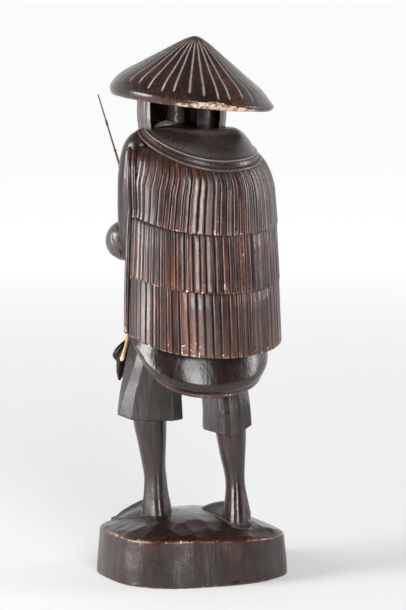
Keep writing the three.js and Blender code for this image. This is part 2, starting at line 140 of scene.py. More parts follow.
# Head: its middle, its half sizes, and its turn in degrees, negative to the figure's right
HEAD = {"x": 2, "y": -28, "z": 359, "width": 18, "depth": 18, "height": 26, "turn": -18}

# Rod: its path as [x, y, z] from the butt, its radii at the butt and the tip, how much wider its hole
# is all round, and the places of its swollen joints as shares of the way
ROD_PATH = [
    [45.6, -24, 160], [37.4, -28.6, 178], [27.4, -36.6, 212], [21.2, -45.2, 247],
    [23.6, -53, 280], [28.8, -59.4, 306], [31.8, -62.8, 320], [39.3, -71.2, 355],
]
ROD_BUTT_RADIUS = 1.75
ROD_TIP_RADIUS = 0.55
ROD_CLEARANCE = 0.3
ROD_JOINTS = (0.13, 0.33, 0.53, 0.68, 0.8, 0.92)

# What is painted on each point of the wood, and the triangles the whole figure is thinned to
# deep is mostly painted shade, in cuts, creases and seams and on the feet; dust is dust, and in places
# painted light
STAINS = ("red", "wear", "deep", "dust")
PLAIN_RED = 0.12
FIGURE_TRIANGLES = 188000

# Wood: the stained and waxed face and its redder parts, each from dark to light grain, the near-black
# of painted shade, rubbed edges from slight to bare, chips, pale dust and painted light, and the
# roughness of the wax where it is thick and thin
STAINED = ((0.0048, 0.0038, 0.0036, 1), (0.0135, 0.0088, 0.0076, 1))
REDDENED = ((0.06, 0.0175, 0.0115, 1), (0.165, 0.062, 0.037, 1))
DARK_AND_PAINTED_SHADE = (0.003, 0.0026, 0.0025, 1)
RUBBED = ((0.27, 0.1, 0.05, 1), (0.66, 0.48, 0.34, 1))
CHIPPED = (0.8, 0.7, 0.6, 1)
PALE_DUST_AND_PAINTED_LIGHT = (0.52, 0.47, 0.43, 1)
WAX_ROUGHNESS = (0.14, 0.31)

# Cane: the cut end of its butt, its lower and its upper length, and the lines along it
CANE_END = (0.9, 0.74, 0.54, 1)
CANE_LOW = (0.62, 0.42, 0.2, 1)
CANE_HIGH = (0.11, 0.055, 0.032, 1)
CANE_LINES = (0.13, 0.065, 0.03, 1)

# Camera: its place and target in metres, and the lens and the sensor's width in millimetres
CAMERA_PLACE = (0.99228, 1.73651, 0.45)
CAMERA_TARGET = (-0.0077188, 0.0044564, 0.20151)
CAMERA_LENS = 160.76
SENSOR_WIDTH = 36

# Floor, in metres: its radius, its colour on the camera's side and elsewhere, and the light it gives
# off by itself on the camera's side, round the figure and far behind it
FLOOR_RADIUS = 60
FLOOR_SIDES = 96
FLOOR_COLOR = ((0.3, 0.3, 0.3, 1), (0.62, 0.62, 0.62, 1))
FLOOR_GLOW = (0.1, 0.23, 0.75)

# Brightness of the surroundings low behind the camera, low behind the figure, and overhead
WORLD_GLOW = (0.06, 1.0, 0.11)
WORLD_COLOR = (0.98, 0.99, 1, 1)

# Soft boxes: degrees from the camera's side towards its right, distance, height, the height each is
# aimed at, its width and length in metres, and its power in watts
SOFT_BOXES = {
    "left": (-72, 1.6, 0.6, 0.22, (0.8, 1.2), 43),
    "front": (14, 2.1, 0.8, 0.22, (0.8, 1.4), 43),
    "right": (100, 1.8, 0.7, 0.25, (0.5, 1.0), 11),
}


def bump(value, centre, width):
    """A soft bump: e to the minus square of the distance from the centre in widths."""
    return np.exp(-(((value - centre) / width) ** 2))


def wander(a, b, seed, waves=5):
    """Smooth unevenness over two parameters: a mean of sines with seeded pitches and phases."""
    rng = np.random.default_rng(seed)
    total = 0.0
    for _ in range(waves):
        pitch_a, pitch_b = rng.uniform(-1, 1, 2)
        total = total + np.sin(pitch_a * a + pitch_b * b + rng.uniform(0, 2 * math.pi))
    return total / waves


def smooth_walk(stations, rows):
    """Catmull-Rom walk through rows of numbers. At share t between b and c, with a before and d after:
    half of 2b + (c - a)t + (2a - 5b + 4c - d)t^2 + (3b - 3c + d - a)t^3. rows is a count, or the
    places themselves counted in stations."""
    table = np.asarray(stations, float)
    last = len(table) - 1
    table = np.vstack([2 * table[0] - table[1], table, 2 * table[-1] - table[-2]])
    place = np.linspace(0, last, rows) if np.isscalar(rows) else np.asarray(rows, float)
    k = np.minimum(place.astype(int), last - 1)
    t = (place - k)[:, None]
    a, b, c, d = (table[k + i] for i in range(4))
    return 0.5 * (2 * b + (c - a) * t + (2 * a - 5 * b + 4 * c - d) * t**2 + (3 * b - 3 * c + d - a) * t**3)


def around(x, y, half_width, half_depth, degrees, z):
    """Points on an ellipse round the vertical axis through (x, y): the half width times the sine and
    the half depth times the cosine of the angle."""
    angle = np.radians(degrees)
    parts = np.broadcast_arrays(x + half_width * np.sin(angle), y + half_depth * np.cos(angle), z)
    return np.stack(parts, -1)


def form(rings, red=PLAIN_RED, wear=0.0, deep=0.0, dust=0.0, band=False):
    """A closed carved form: its rings, and how red, worn, dark and dusty the wood is painted at each
    point; the dark is mostly painted shade, and the dust is in places painted light. A band's ends are
    closed from its outer to its inner edge, other ends by a fan."""
    shape = rings.shape[:2]
    values = dict(zip(STAINS, (red, wear, deep, dust)))
    stain = {name: np.broadcast_to(value, shape) for name, value in values.items()}
    return {"rings": rings, "stain": stain, "band": band}


def upright(stations, columns, rows, swell=None, lift=None, **stain):
    """A form of level rings up a walk of [x, y, z, half width, half depth]. swell multiplies the radius
    and lift raises a point, each worked out from the angle in degrees and the share of the way up."""
    at = smooth_walk(stations, rows)
    degrees = np.linspace(0, 360, columns, endpoint=False)[None, :]
    up = np.linspace(0, 1, len(at))[:, None]
    factor = swell(degrees, up) if swell else 1
    raised = lift(degrees, up) if lift else 0
    x, y, z, wide, deep = (at[:, [i]] for i in range(5))
    return form(around(x, y, wide * factor, deep * factor, degrees, z + raised), **stain)


def limb_rings(stations, columns, rows, side, swell=None):
    """Rings square to a walk of [x, y, z, half width, half depth]: the half width lies along side and
    the half depth across it. swell multiplies the radius from the angle and the share of the way."""
    at = smooth_walk(stations, rows)
    tangent = np.gradient(at[:, :3], axis=0)
    across = np.cross(tangent, side)
    across /= np.linalg.norm(across, axis=1)[:, None]
    wide = np.cross(across, tangent)
    wide /= np.linalg.norm(wide, axis=1)[:, None]
    degrees = np.linspace(0, 360, columns, endpoint=False)[None, :]
    along = np.linspace(0, 1, len(at))[:, None]
    factor = swell(degrees, along) if swell else np.ones((len(at), columns))
    angle = np.radians(degrees)
    u = (np.cos(angle) * at[:, [3]] * factor)[..., None]
    v = (np.sin(angle) * at[:, [4]] * factor)[..., None]
    return at[:, None, :3] + u * wide[:, None, :] + v * across[:, None, :]


def limb(stations, columns, rows, side, swell=None, **stain):
    """A form of rings square to a walk."""
    return form(limb_rings(stations, columns, rows, side, swell), **stain)


def lump_rings(centre, size, turn=0, columns=20, rows=12):
    """An egg: latitude rings of an ellipsoid with the given half sizes, turned about the vertical."""
    latitude = np.linspace(-math.pi / 2, math.pi / 2, rows + 2)[1:-1, None]
    longitude = np.linspace(0, 2 * math.pi, columns, endpoint=False)[None, :]
    x = size[0] * np.cos(latitude) * np.sin(longitude)
    y = size[1] * np.cos(latitude) * np.cos(longitude)
    z = size[2] * np.sin(latitude) + 0 * longitude
    c, s = math.cos(math.radians(turn)), math.sin(math.radians(turn))
    return np.stack([centre[0] + c * x - s * y, centre[1] + s * x + c * y, centre[2] + z], -1)


def lump(centre, size, turn=0):
    """A form in the shape of an egg."""
    return form(lump_rings(centre, size, turn))


def faces_of(rings, band):
    """Four-sided faces between neighbouring rows, and the faces that close the first and last row.
    They are turned over if the volume summed from them is negative."""
    rows, columns = rings.shape[:2]
    points = np.concatenate([rings.reshape(-1, 3), rings[[0, -1]].mean(1)])
    index = np.arange(rows * columns).reshape(rows, columns)
    beside = np.roll(index, -1, 1)
    faces = np.stack([index[:-1], beside[:-1], beside[1:], index[1:]], -1).reshape(-1, 4).tolist()
    if band:
        points = points[:-2]
        i = np.arange(columns // 2 - 1)
        strip = np.stack([i, columns - 1 - i, columns - 2 - i, i + 1], -1)
        faces += strip.tolist() + (strip[:, ::-1] + (rows - 1) * columns).tolist()
    else:
        start, end = len(points) - 2, len(points) - 1
        faces += [[start, b, a] for a, b in zip(index[0].tolist(), beside[0].tolist())]
        faces += [[end, a, b] for a, b in zip(index[-1].tolist(), beside[-1].tolist())]
    corners = np.array([f[:3] for f in faces] + [[f[0], f[2], f[3]] for f in faces if len(f) == 4])
    a, b, c = (points[corners[:, i]] for i in range(3))
    if (a * np.cross(b, c)).sum() < 0:
        faces = [f[::-1] for f in faces]
    return points, faces


def object_of(name, forms):
    """One mesh object holding closed forms side by side, with their stain as point attributes."""
    all_points, all_faces, stains = [], [], {key: [] for key in STAINS}
    start = 0
    for part in forms:
        points, faces = faces_of(part["rings"], part["band"])
        all_points.append(points)
        all_faces += [[i + start for i in f] for f in faces]
        start += len(points)
        for key, value in part["stain"].items():
            ends = [] if part["band"] else [value[0].mean(), value[-1].mean()]
            stains[key].append(np.concatenate([value.ravel(), ends]))
    mesh = bpy.data.meshes.new(name)
    mesh.from_pydata((np.concatenate(all_points) * MM).tolist(), [], all_faces)
    for key, values in stains.items():
        paint(mesh, key, np.concatenate(values))
    piece = bpy.data.objects.new(name, mesh)
    bpy.context.scene.collection.objects.link(piece)
    return piece


def paint(mesh, name, values):
    """Writes one number per point under a name."""
    attribute = mesh.attributes.get(name) or mesh.attributes.new(name, "FLOAT", "POINT")
    attribute.data.foreach_set("value", np.asarray(values, np.float32))


def painted(mesh, name):
    """The numbers written under a name, one per point."""
    values = np.zeros(len(mesh.vertices), np.float32)
    mesh.attributes[name].data.foreach_get("value", values)
    return values


def settle(piece):
    """Puts a piece's modifiers into its mesh."""
    graph = bpy.context.evaluated_depsgraph_get()
    mesh = bpy.data.meshes.new_from_object(piece.evaluated_get(graph))
    piece.modifiers.clear()
    piece.data = mesh


def melted(name, forms, voxel, passes, keep, painted_shade=None):
    """Forms run into each other as rubbed wood does: filled with cubes of the voxel size, smoothed by
    that many passes, then thinned to the share keep of the faces where the surface is flat. The last
    argument gives the shade painted on the wood, how dark it is, from the points in millimetres."""
    piece = object_of(name, forms)
    fill = piece.modifiers.new("fill", "REMESH")
    fill.mode = "VOXEL"
    fill.voxel_size = voxel * MM
    rub = piece.modifiers.new("rub", "SMOOTH")
    rub.factor = 0.5
    rub.iterations = passes
    thin = piece.modifiers.new("thin", "DECIMATE")
    thin.ratio = keep
    settle(piece)
    count = len(piece.data.vertices)
    places = np.zeros(count * 3)
    piece.data.vertices.foreach_get("co", places)
    deep = painted_shade(places.reshape(-1, 3) / MM) if painted_shade else 0.0
    stain = dict(zip(STAINS, (PLAIN_RED, 0.0, deep, 0.0)))
    for key in STAINS:
        paint(piece.data, key, np.broadcast_to(stain[key], count))
    return piece


def combine(whole, other, operation):
    """Joins another solid to the whole or cuts it away, and removes the other."""
    step = whole.modifiers.new(operation, "BOOLEAN")
    step.operation = operation
    step.solver = "MANIFOLD"
    step.object = other
    settle(whole)
    bpy.data.objects.remove(other)


def gouged(a, b, spacing, reach_a, reach_b, seed):
    """Scallops left by a gouge over two parameters: the square of the distance to the nearest of a
    scatter of seeded centres, over the square of half their spacing and with a lift of each cut's own,
    so cuts meet in low ridges."""
    rng = np.random.default_rng(seed)
    steps_a = np.arange(reach_a[0], reach_a[1] + spacing, spacing)
    steps_b = np.arange(reach_b[0], reach_b[1] + spacing, spacing)
    centres = np.stack(np.meshgrid(steps_a, steps_b), -1).reshape(-1, 2)
    centres = centres + rng.uniform(-0.42, 0.42, centres.shape) * spacing
    lift = rng.uniform(0, 0.5, len(centres))
    nearest = np.full(np.broadcast(a, b).shape, np.inf)
    for (x, y), extra in zip(centres, lift):
        nearest = np.minimum(nearest, ((a - x) ** 2 + (b - y) ** 2) / (spacing / 2) ** 2 + extra)
    return nearest


def beside_foot(x, y, heel, toe):
    """Distance of points from the line along a sole, less half the sole's width. It is made to grow
    fast behind the heel and beside the toes, where no ridge was left."""
    line = np.array(toe[:2]) - np.array(heel[:2])
    share = ((x - heel[0]) * line[0] + (y - heel[1]) * line[1]) / (line @ line)
    beyond = RIDGE_FADE * (np.maximum(0, -share) + np.maximum(0, share - RIDGE_END))
    share = np.clip(share, 0, 1)
    distance = np.hypot(x - heel[0] - share * line[0], y - heel[1] - share * line[1])
    return distance - SOLE_HALF_WIDTH - SOLE_SPREAD * share + beyond


def base():
    """Base: the plan outline carried up its levels, its sides cut in tall shallow facets, its rim a
    little wavy and its top swelling into a gouged mound, with a worn ridge left round each foot."""
    places = np.linspace(2, 2 + len(BASE_PLAN), 240, endpoint=False)
    plan = smooth_walk(BASE_PLAN[-2:] + BASE_PLAN + BASE_PLAN[:2], places)
    levels = smooth_walk([
        [0.974, 0.0], [0.992, 0.4], [1.0, 2.4], [0.99, 14], [0.976, 25], [BASE_TAPER, BASE_RIM - 1.6],
        [0.963, BASE_RIM - 0.2], [0.953, BASE_RIM + 0.4], [0.92, BASE_RIM + 1.5], [0.86, 37.2],
        [0.76, 39.8], [0.6, 42.8], [0.42, 45.4], [0.22, 46.8], [0.04, MOUND_TOP],
    ], 96)
    scale, z = levels[:, [0]], levels[:, [1]]
    x = MOUND_CENTRE[0] * (1 - scale) + plan[:, 0] * scale
    y = MOUND_CENTRE[1] * (1 - scale) + plan[:, 1] * scale
    degrees = np.degrees(np.arctan2(plan[:, 0], plan[:, 1]))[None, :]
    top = np.clip((z - BASE_RIM / 2) / (BASE_RIM / 2), 0, 1)
    side = np.clip(z / 3, 0, 1) * np.clip((BASE_RIM + 2 - z) / 3, 0, 1)
    dip = BASE_DIP * scale * top * np.maximum(0, np.cos(np.radians(degrees - BASE_DIP_TOWARD)))
    wave = 0.5 * bump(z, BASE_RIM, 4) * wander(degrees * 0.13, 0, SEED)
    above = np.clip((z - BASE_RIM - 0.4) / 2, 0, 1)
    marks = above * 0.5 * (gouged(x, y, 13, (-66, 66), (-60, 60), SEED + 1) - 0.8)
    ridge = sum(bump(beside_foot(x, y, *sole), RIDGE_GAP, 1.0) for sole in SOLES)
    facets = -0.22 * side * gouged(degrees / 2.2, z / 9, 6, (-84, 84), (0, 6), SEED + 2)
    height = z - dip + wave + (marks + 0.9 * ridge * above) * scale.clip(0.2, 1)
    x = x + facets * np.sin(np.radians(degrees))
    y = y + facets * np.cos(np.radians(degrees))
    uneven = 0.6 + 0.6 * wander(degrees * 0.3, z, SEED + 3)
    edge = bump(z, BASE_RIM + 0.1, 0.75) * uneven + 0.4 * bump(z, 0.5, 0.8)
    below = np.clip((BASE_RIM - z) / 4, 0, 1) * np.exp(-(BASE_RIM - z).clip(0) / 5)
    rust = (wander(degrees * 0.11, z * 0.2, SEED + 4) + 0.2).clip(0, 1) * below
    wear = 0.62 * edge.clip(0, 1) + 0.1 * rust
    return form(np.stack([x, y, height], -1), red=0.14 + 0.8 * rust, wear=wear, dust=0.3 * ridge * above)


def foot(heel, toe):
    """Bare foot: sections from heel to toes, flat below and rounded to a soft ridge above, lower towards
    the toes, which are five rounded ends in a slanting row."""
    heel, toe = np.array(heel, float), np.array(toe, float)
    along = toe - heel
    side = np.array([-along[1], along[0], 0]) / np.hypot(along[0], along[1])
    sections = smooth_walk([
        [0, 0.5, 5], [0.1, 0.9, 8], [0.3, 1.5, 9], [0.51, 1.3, 9.8],
        [0.7, 1.02, 10.6], [0.84, 0.76, 10.6], [0.93, 0.54, 9.4], [1, 0.3, 6.6],
    ], 34)
    angle = np.linspace(0, 2 * math.pi, 44, endpoint=False)[None, :]
    place, tall, wide = (sections[:, [i]] for i in range(3))
    over, under = np.sin(angle).clip(0, 1) ** 0.62, 0.35 * np.sin(angle).clip(-1, 0)
    up = (over + under) * FOOT_HEIGHT * tall
    rings = heel + place[..., None] * along + (np.cos(angle) * wide)[..., None] * side
    rings[..., 2] += up
    parts = [form(rings)]
    inner = 1 if toe[0] > 0 else -1
    turn = math.degrees(math.atan2(-along[0], along[1]))
    toes = [(0.92, 6.6, 2.6), (0.94, 2.8, 2.0), (0.92, -0.6, 1.9), (0.88, -3.8, 1.9), (0.84, -6.8, 1.9)]
    for i, (reach, across, size) in enumerate(toes):
        centre = heel + along * reach + side * across * inner
        parts.append(lump(centre + [0, 0, 1.0 - 0.2 * i], (size, size * 2.4, size), turn))
    return parts


def leg_forms(tendon):
    """Swelling of a shin and ankle by the angle and the share of the way down. The tendon stands out
    behind as one rounded ridge between two soft hollows and broadens into the heel. The shin bone
    makes an edge in front and the ankle bones stand out at both sides."""
    def swell(degrees, down):
        turned = (degrees - tendon + 180) % 360 - 180
        low = np.clip((down - 0.25) / 0.4, 0, 1)
        end = np.clip((down - 0.74) / 0.24, 0, 1) ** 1.5
        ridge = 0.14 * low * bump(turned, 0, 24)
        hollows = 0.07 * low * (bump(turned, 50, 20) + bump(turned, -48, 20))
        bones = 0.07 * bump(down, 0.82, 0.08) * (bump(turned, 100, 26) + bump(turned, -96, 26))
        calf = 0.03 * (1 - low) * bump(turned, -20, 40)
        heel = 0.12 * bump(turned, -10, 50) * end
        shin = 0.07 * bump(np.abs(turned), 180, 16)
        return 1 + ridge - hollows + bones + calf + heel + shin
    return swell


def bare_legs():
    """Shins and ankles that run down into bare feet."""
    left = [
        [27, -16.4, 130, 12.9, 13], [26.2, -15.6, 113, 12.2, 12.6], [25.2, -14.4, 97, 10.2, 11.2],
        [24.4, -13.2, 82, 8.5, 9.6], [23.6, -12.2, 72, 8.3, 9], [23.2, -11.8, 60, 9.2, 9.6],
        [22.8, -11.4, 50, 10.2, 10.4], [22.6, -11.2, 43, 10.6, 10.8],
    ]
    right = [
        [-20.5, 20, 124, 12.4, 13], [-21.8, 22, 104, 10.8, 11.6], [-22.4, 23, 90, 9, 10.4],
        [-23, 24.4, 78, 7.4, 8.6], [-23.4, 25.4, 68, 7, 8.2], [-23.8, 26.4, 55, 8.8, 9.4],
        [-23.6, 27.2, 44, 9.8, 10.4], [-23.6, 27.2, 37, 9.4, 10],
    ]
    parts = []
    for walk, tendon in ((left, 19), (right, 33)):
        forms = leg_forms(tendon)
        parts.append(upright(walk[::-1], 80, 90, lambda degrees, up: forms(degrees, 1 - up)))
    for heel, toe in SOLES:
        parts += foot(heel, toe)
    return parts


def feet_painted_shade(points):
    """Painted shade: the feet painted darker in front of the ankles, low down and near each sole's line."""
    total = np.zeros(len(points))
    for heel, toe in SOLES:
        line = np.array(toe[:2]) - np.array(heel[:2])
        length = np.linalg.norm(line)
        share = ((points[:, :2] - heel[:2]) @ line) / length**2
        aside = np.abs((points[:, 0] - heel[0]) * line[1] - (points[:, 1] - heel[1]) * line[0]) / length
        inside = (aside < FEET_SHADE_REACH) * (points[:, 2] < FEET_SHADE_TOP)
        total += FEET_SHADE_DARKNESS * np.clip((share - 0.25) / 0.2, 0, 1) * inside
    return total.clip(0, FEET_SHADE_DARKNESS)


def creased(plan, columns):
    """A closed plan outline from corners [right, near, rise]: straight between its corners, with
    points set close on both sides of each one, so that a crease stays crisp when the outline is
    smoothed twice by a quarter of each neighbour."""
    corners = np.array(plan, float)
    local = np.concatenate([[0, 0.04, 0.1], np.linspace(0.2, 0.8, columns - 5), [0.9, 0.96]])
    following = np.roll(corners, -1, 0)
    points = corners[:, None] + (following - corners)[:, None] * local[None, :, None]
    points = points.reshape(-1, 3)
    for _ in range(2):
        points = 0.25 * np.roll(points, 1, 0) + 0.5 * points + 0.25 * np.roll(points, -1, 0)
    return points


def trouser_leg(low_plan, high_plan, stations, seed):
    """Rings that carry a creased plan up a walk of [x, y, z, scale]. The hem's plan turns into the
    upper one between 0.42 and 0.86 of the way. Plan points are [right, near, rise] as the camera sees
    them."""
    low, high = creased(low_plan, TROUSER_SIDE_POINTS), creased(high_plan, TROUSER_SIDE_POINTS)
    at = smooth_walk(stations, TROUSER_ROWS)
    up = np.linspace(0, 1, TROUSER_ROWS)[:, None]
    mix = np.clip((up - 0.42) / 0.44, 0, 1)
    right = low[:, 0] * (1 - mix) + high[:, 0] * mix
    near = low[:, 1] * (1 - mix) + high[:, 1] * mix
    turn = np.arctan2(low[:, 0], low[:, 1])
    scale = at[:, [3]] * (1 + 0.008 * wander(turn * 3, up * 12, seed))
    turn_x, turn_y = math.sin(math.radians(CAMERA_BEARING)), math.cos(math.radians(CAMERA_BEARING))
    x = at[:, [0]] + scale * (-turn_y * right + turn_x * near)
    y = at[:, [1]] + scale * (turn_x * right + turn_y * near)
    fade = np.clip(1 - (up - 0.3) / 0.45, 0, 1)
    return np.stack([x, y, at[:, [2]] + low[:, 2] * fade], -1)


def trousers():
    """Loose knee-length trousers cut in broad planes that meet in creases, each leg flaring to its hem.
    The hem of the left leg is level and that of the right one drops to a point behind."""
    left_low = [
        [-23.8, -6, 3.4], [-23, 1.6, 1.6], [-13.5, 9.4, -0.6], [-0.8, 14.8, -0.4], [3.4, 14.6, -0.3],
        [7, 16, 0], [17.5, 18.6, 0.2], [24.2, 14, 0.6], [24, -2, 1], [17, -15, 2], [6, -19, 2.4],
        [1, -17.4, 2.4], [-4, -19.2, 2.4], [-16, -15, 2.4],
    ]
    left_high = [
        [-22.8, -6, 0], [-15.6, 7, 0], [-9.2, 12, 0], [1, 15.8, 0], [4.4, 15.6, 0], [7, 16.4, 0],
        [15, 17.4, 0], [22, 13, 0], [22, -2, 0], [16, -13, 0], [6, -17, 0], [1, -16.4, 0], [-4, -17, 0],
        [-15, -13, 0],
    ]
    right_low = [
        [-18.2, -3, 5.2], [-17.2, 7.6, 4], [-5.8, 13.2, 1.8], [-3.9, 12.9, 1.2], [-1.4, 14.4, 0.7],
        [3.2, 15.4, 0], [9.8, 13.2, 2.2], [18.4, 4.6, 7.4], [17.4, -7, 7], [8, -16, 6], [2, -14.6, 6],
        [-4, -16.6, 6], [-14, -12, 5.6],
    ]
    right_high = [
        [-17.6, -3, 0], [-16, 8, 0], [-5.8, 13.8, 0], [-4, 13.6, 0], [-1.8, 14.8, 0], [3, 15.6, 0],
        [9, 13.8, 0], [17, 5.6, 0], [16.6, -6, 0], [8, -15, 0], [2, -14.6, 0], [-4, -15.6, 0],
        [-13, -11, 0],
    ]
    left = [
        [26, -16.5, 122, 0.78], [26, -16.5, 117.4, 0.93], [26, -16.5, 117.6, 1.0], [26, -16.4, 119.4, 1.02],
        [25.6, -15.6, 134, 0.99], [24.4, -14, 146, 0.99], [23, -11.6, 160, 1.0], [20, -9, 177, 1.0],
    ]
    right = [
        [-20.2, 18.4, 111, 0.76], [-20.2, 18.4, 106.6, 0.93], [-20.2, 18.4, 106.8, 0.99],
        [-20.2, 18.2, 109, 1.0], [-20.1, 17.6, 124, 0.99], [-19.6, 15.4, 138, 1.01], [-18, 12, 152, 1.08],
        [-14, 8, 175, 1.3],
    ]
    wear = 0.12 * bump(np.arange(TROUSER_ROWS)[:, None], TROUSER_EDGE_ROW, 2.2)
    return [
        form(trouser_leg(left_low, left_high, left, SEED + 10), red=0.1, deep=0.22, wear=wear),
        form(trouser_leg(right_low, right_high, right, SEED + 11), red=0.1, deep=0.3, wear=wear),
    ]


def tunic():
    """Tunic skirt, full over the seat: its hem is low behind and swept up to both sides by one minus the
    cosine of the angle, sooner and by a power of it at the left, up to its height in front. It ends in
    a rubbed rounded lip over a hollow."""
    stations = [
        [-4, 5, TUNIC_HEM + 5.4, 36, 31], [-4, 5, TUNIC_HEM + 1.6, 42, 36.6], [-4, 5, TUNIC_HEM, 44.8, 39.2],
        [-4.2, 4.8, TUNIC_HEM + 0.2, 46.6, 40.5], [-4.4, 4.6, TUNIC_HEM + 1.5, 47.6, 41.2],
        [-4.4, 4.4, TUNIC_HEM + 3, 48, 41.2], [-4.5, 4.3, TUNIC_HEM + 5.5, 49.8, 42.4],
        [-4.6, 4, TUNIC_HEM + 11, 52.4, 44], [-4.6, 3.7, TUNIC_HEM + 19, 53.6, 44.3],
        [-4.6, 3.4, TUNIC_HEM + 28, 52.8, 42.9], [-3.4, 1.5, TUNIC_HEM + 48, 47, 39],
        [-2, 0, TUNIC_HEM + 64, 42, 36],
    ]

    def sweep(degrees, up):
        turned = (degrees - 9 + 180) % 360 - 180
        rise = 1 - np.cos(np.radians(turned))
        left = np.minimum(TUNIC_SWEEP_LEFT * rise ** 1.28, TUNIC_SWEEP_MOST)
        hem = np.where(turned > 0, left, TUNIC_SWEEP_RIGHT * rise)
        return hem * np.clip((1 - up) / 0.36, 0, 1)

    def bell(degrees, up):
        """Fuller towards the hem behind, crumpled at the left, and a little uneven all round."""
        behind = bump((degrees + 160) % 360 - 180, 0, 62)
        full = 0.035 * bump(up, 0.58, 0.1) - 0.06 * np.clip((up - 0.64) / 0.16, 0, 1)
        left = bump(degrees, 96, 24) * bump(up, 0.45, 0.2)
        wrinkles = wander(degrees * 0.55, up * 52, SEED + 14) + wander(degrees * 0.2, up * 20, SEED + 15)
        uneven = 0.007 * wander(degrees * 0.07, up * 5, SEED + 12)
        return 1 + behind * full + 0.024 * left * wrinkles + uneven

    row = np.arange(TUNIC_ROWS)[:, None]
    lip = bump(row, TUNIC_LIP_ROW, 4)
    degrees = np.linspace(0, 360, TUNIC_COLUMNS, endpoint=False)[None, :]
    rubbed = 0.5 + 0.5 * wander(degrees * 0.2, row * 0.3, SEED + 13)
    return upright(stations, TUNIC_COLUMNS, TUNIC_ROWS, bell, sweep, red=0.08 + 0.6 * lip,
                   wear=0.5 * lip * rubbed)


def torso():
    """The body under the cape, from the hips to the root of the neck."""
    return upright([
        [-2, 0, 180, 44, 38], [-2, -1, 222, 41, 35], [-1, -1, 250, 41, 34], [0, -2, 280, 43, 34],
        [0, -3, 306, 40, 33], [1, -6, 320, 34, 29], [3, -12, 331, 24, 21], [4, -16, 336, 12, 11],
    ], 72, 40)


def shoulder_flare(degrees, z):
    """How much further out the cape lies over the left shoulder, growing with height: a share of the
    radius that eases in from 45 to 95 degrees."""
    ease = np.clip((degrees - 45) / 50, 0, 1)
    return 1 + 0.13 * ease**2 * (3 - 2 * ease) * np.clip((z - 262) / 38, 0, 1)


def reed_columns(seed):
    """The columns of points across a tier: each one's reed, its place across the reed and across the
    tier, and how the reed is cut: split, standing out, chipped and rubbed, and how wide its grooves are."""
    rng = np.random.default_rng(seed)
    widths = 1 + rng.uniform(-0.26, 0.26, REEDS)
    edges = np.concatenate([[0], np.cumsum(widths)]) / widths.sum()
    local = np.array([0, 0.05, 0.1, 0.17, 0.28, 0.41, 0.5, 0.59, 0.72, 0.83, 0.9, 0.95])
    reed = np.repeat(np.arange(REEDS), len(local))
    return {
        "reed": reed,
        "across_reed": np.tile(local, REEDS),
        "across_tier": (edges[:-1, None] + local * (edges[1:] - edges[:-1])[:, None]).ravel(),
        "split": (rng.uniform(0, 1, REEDS) < 0.3)[reed],
        "stand": rng.uniform(-0.22, 0.22, REEDS)[reed],
        "chips": rng.uniform(0, 1, REEDS)[reed] ** 3,
        "rubbed": rng.uniform(0, 1, REEDS)[reed],
        "groove": rng.uniform(0.06, 0.1, REEDS)[reed],
    }


def reed_stain(column, z, turn, cut, seed):
    """How the reeds are stained: redder reed by reed and in long streaks, chipped at the lip and rubbed in
    two patches, with painted shade in their cuts and a painted shadow along the seam under the tier
    above. The points that close the tier behind itself are neither chipped nor rubbed."""
    behind = np.zeros(turn.shape[1] - len(column["reed"]))
    chips = np.concatenate([column["chips"], behind])
    rubbed = np.concatenate([column["rubbed"], behind])
    lip, top = z[2], z[-2]
    # Painted shade in the cuts between the reeds and a painted shadow under the tier above
    hollow = np.clip(cut / REED_DEPTH, 0, 1)
    seam = np.clip(1 - np.abs(z - top) / 0.9, 0, 1)
    ends = np.exp(-np.abs(z - lip) / 1.1)
    patch = bump(turn, 22, 30) * np.exp(-np.abs(z - lip) / 12) + 0.8 * bump(turn, -8, 10) * bump(z, 246, 12)
    along = 0.78 + 0.45 * wander(z * 0.07, turn * 0.9, seed + 2) + 0.2 * np.clip((258 - z) / 40, 0, 1)
    red = (0.5 + 0.5 * rubbed) * along * (0.75 + 0.25 * bump(turn, 10, 50))
    wear = 0.4 * ends * chips + 0.4 * patch * rubbed
    return {
        "red": red.clip(0.2, 1) * (1 - 0.4 * hollow),
        "wear": (wear * (1 - hollow)).clip(0, 1),
        "deep": np.maximum(hollow**0.8, 0.9 * seam),
    }


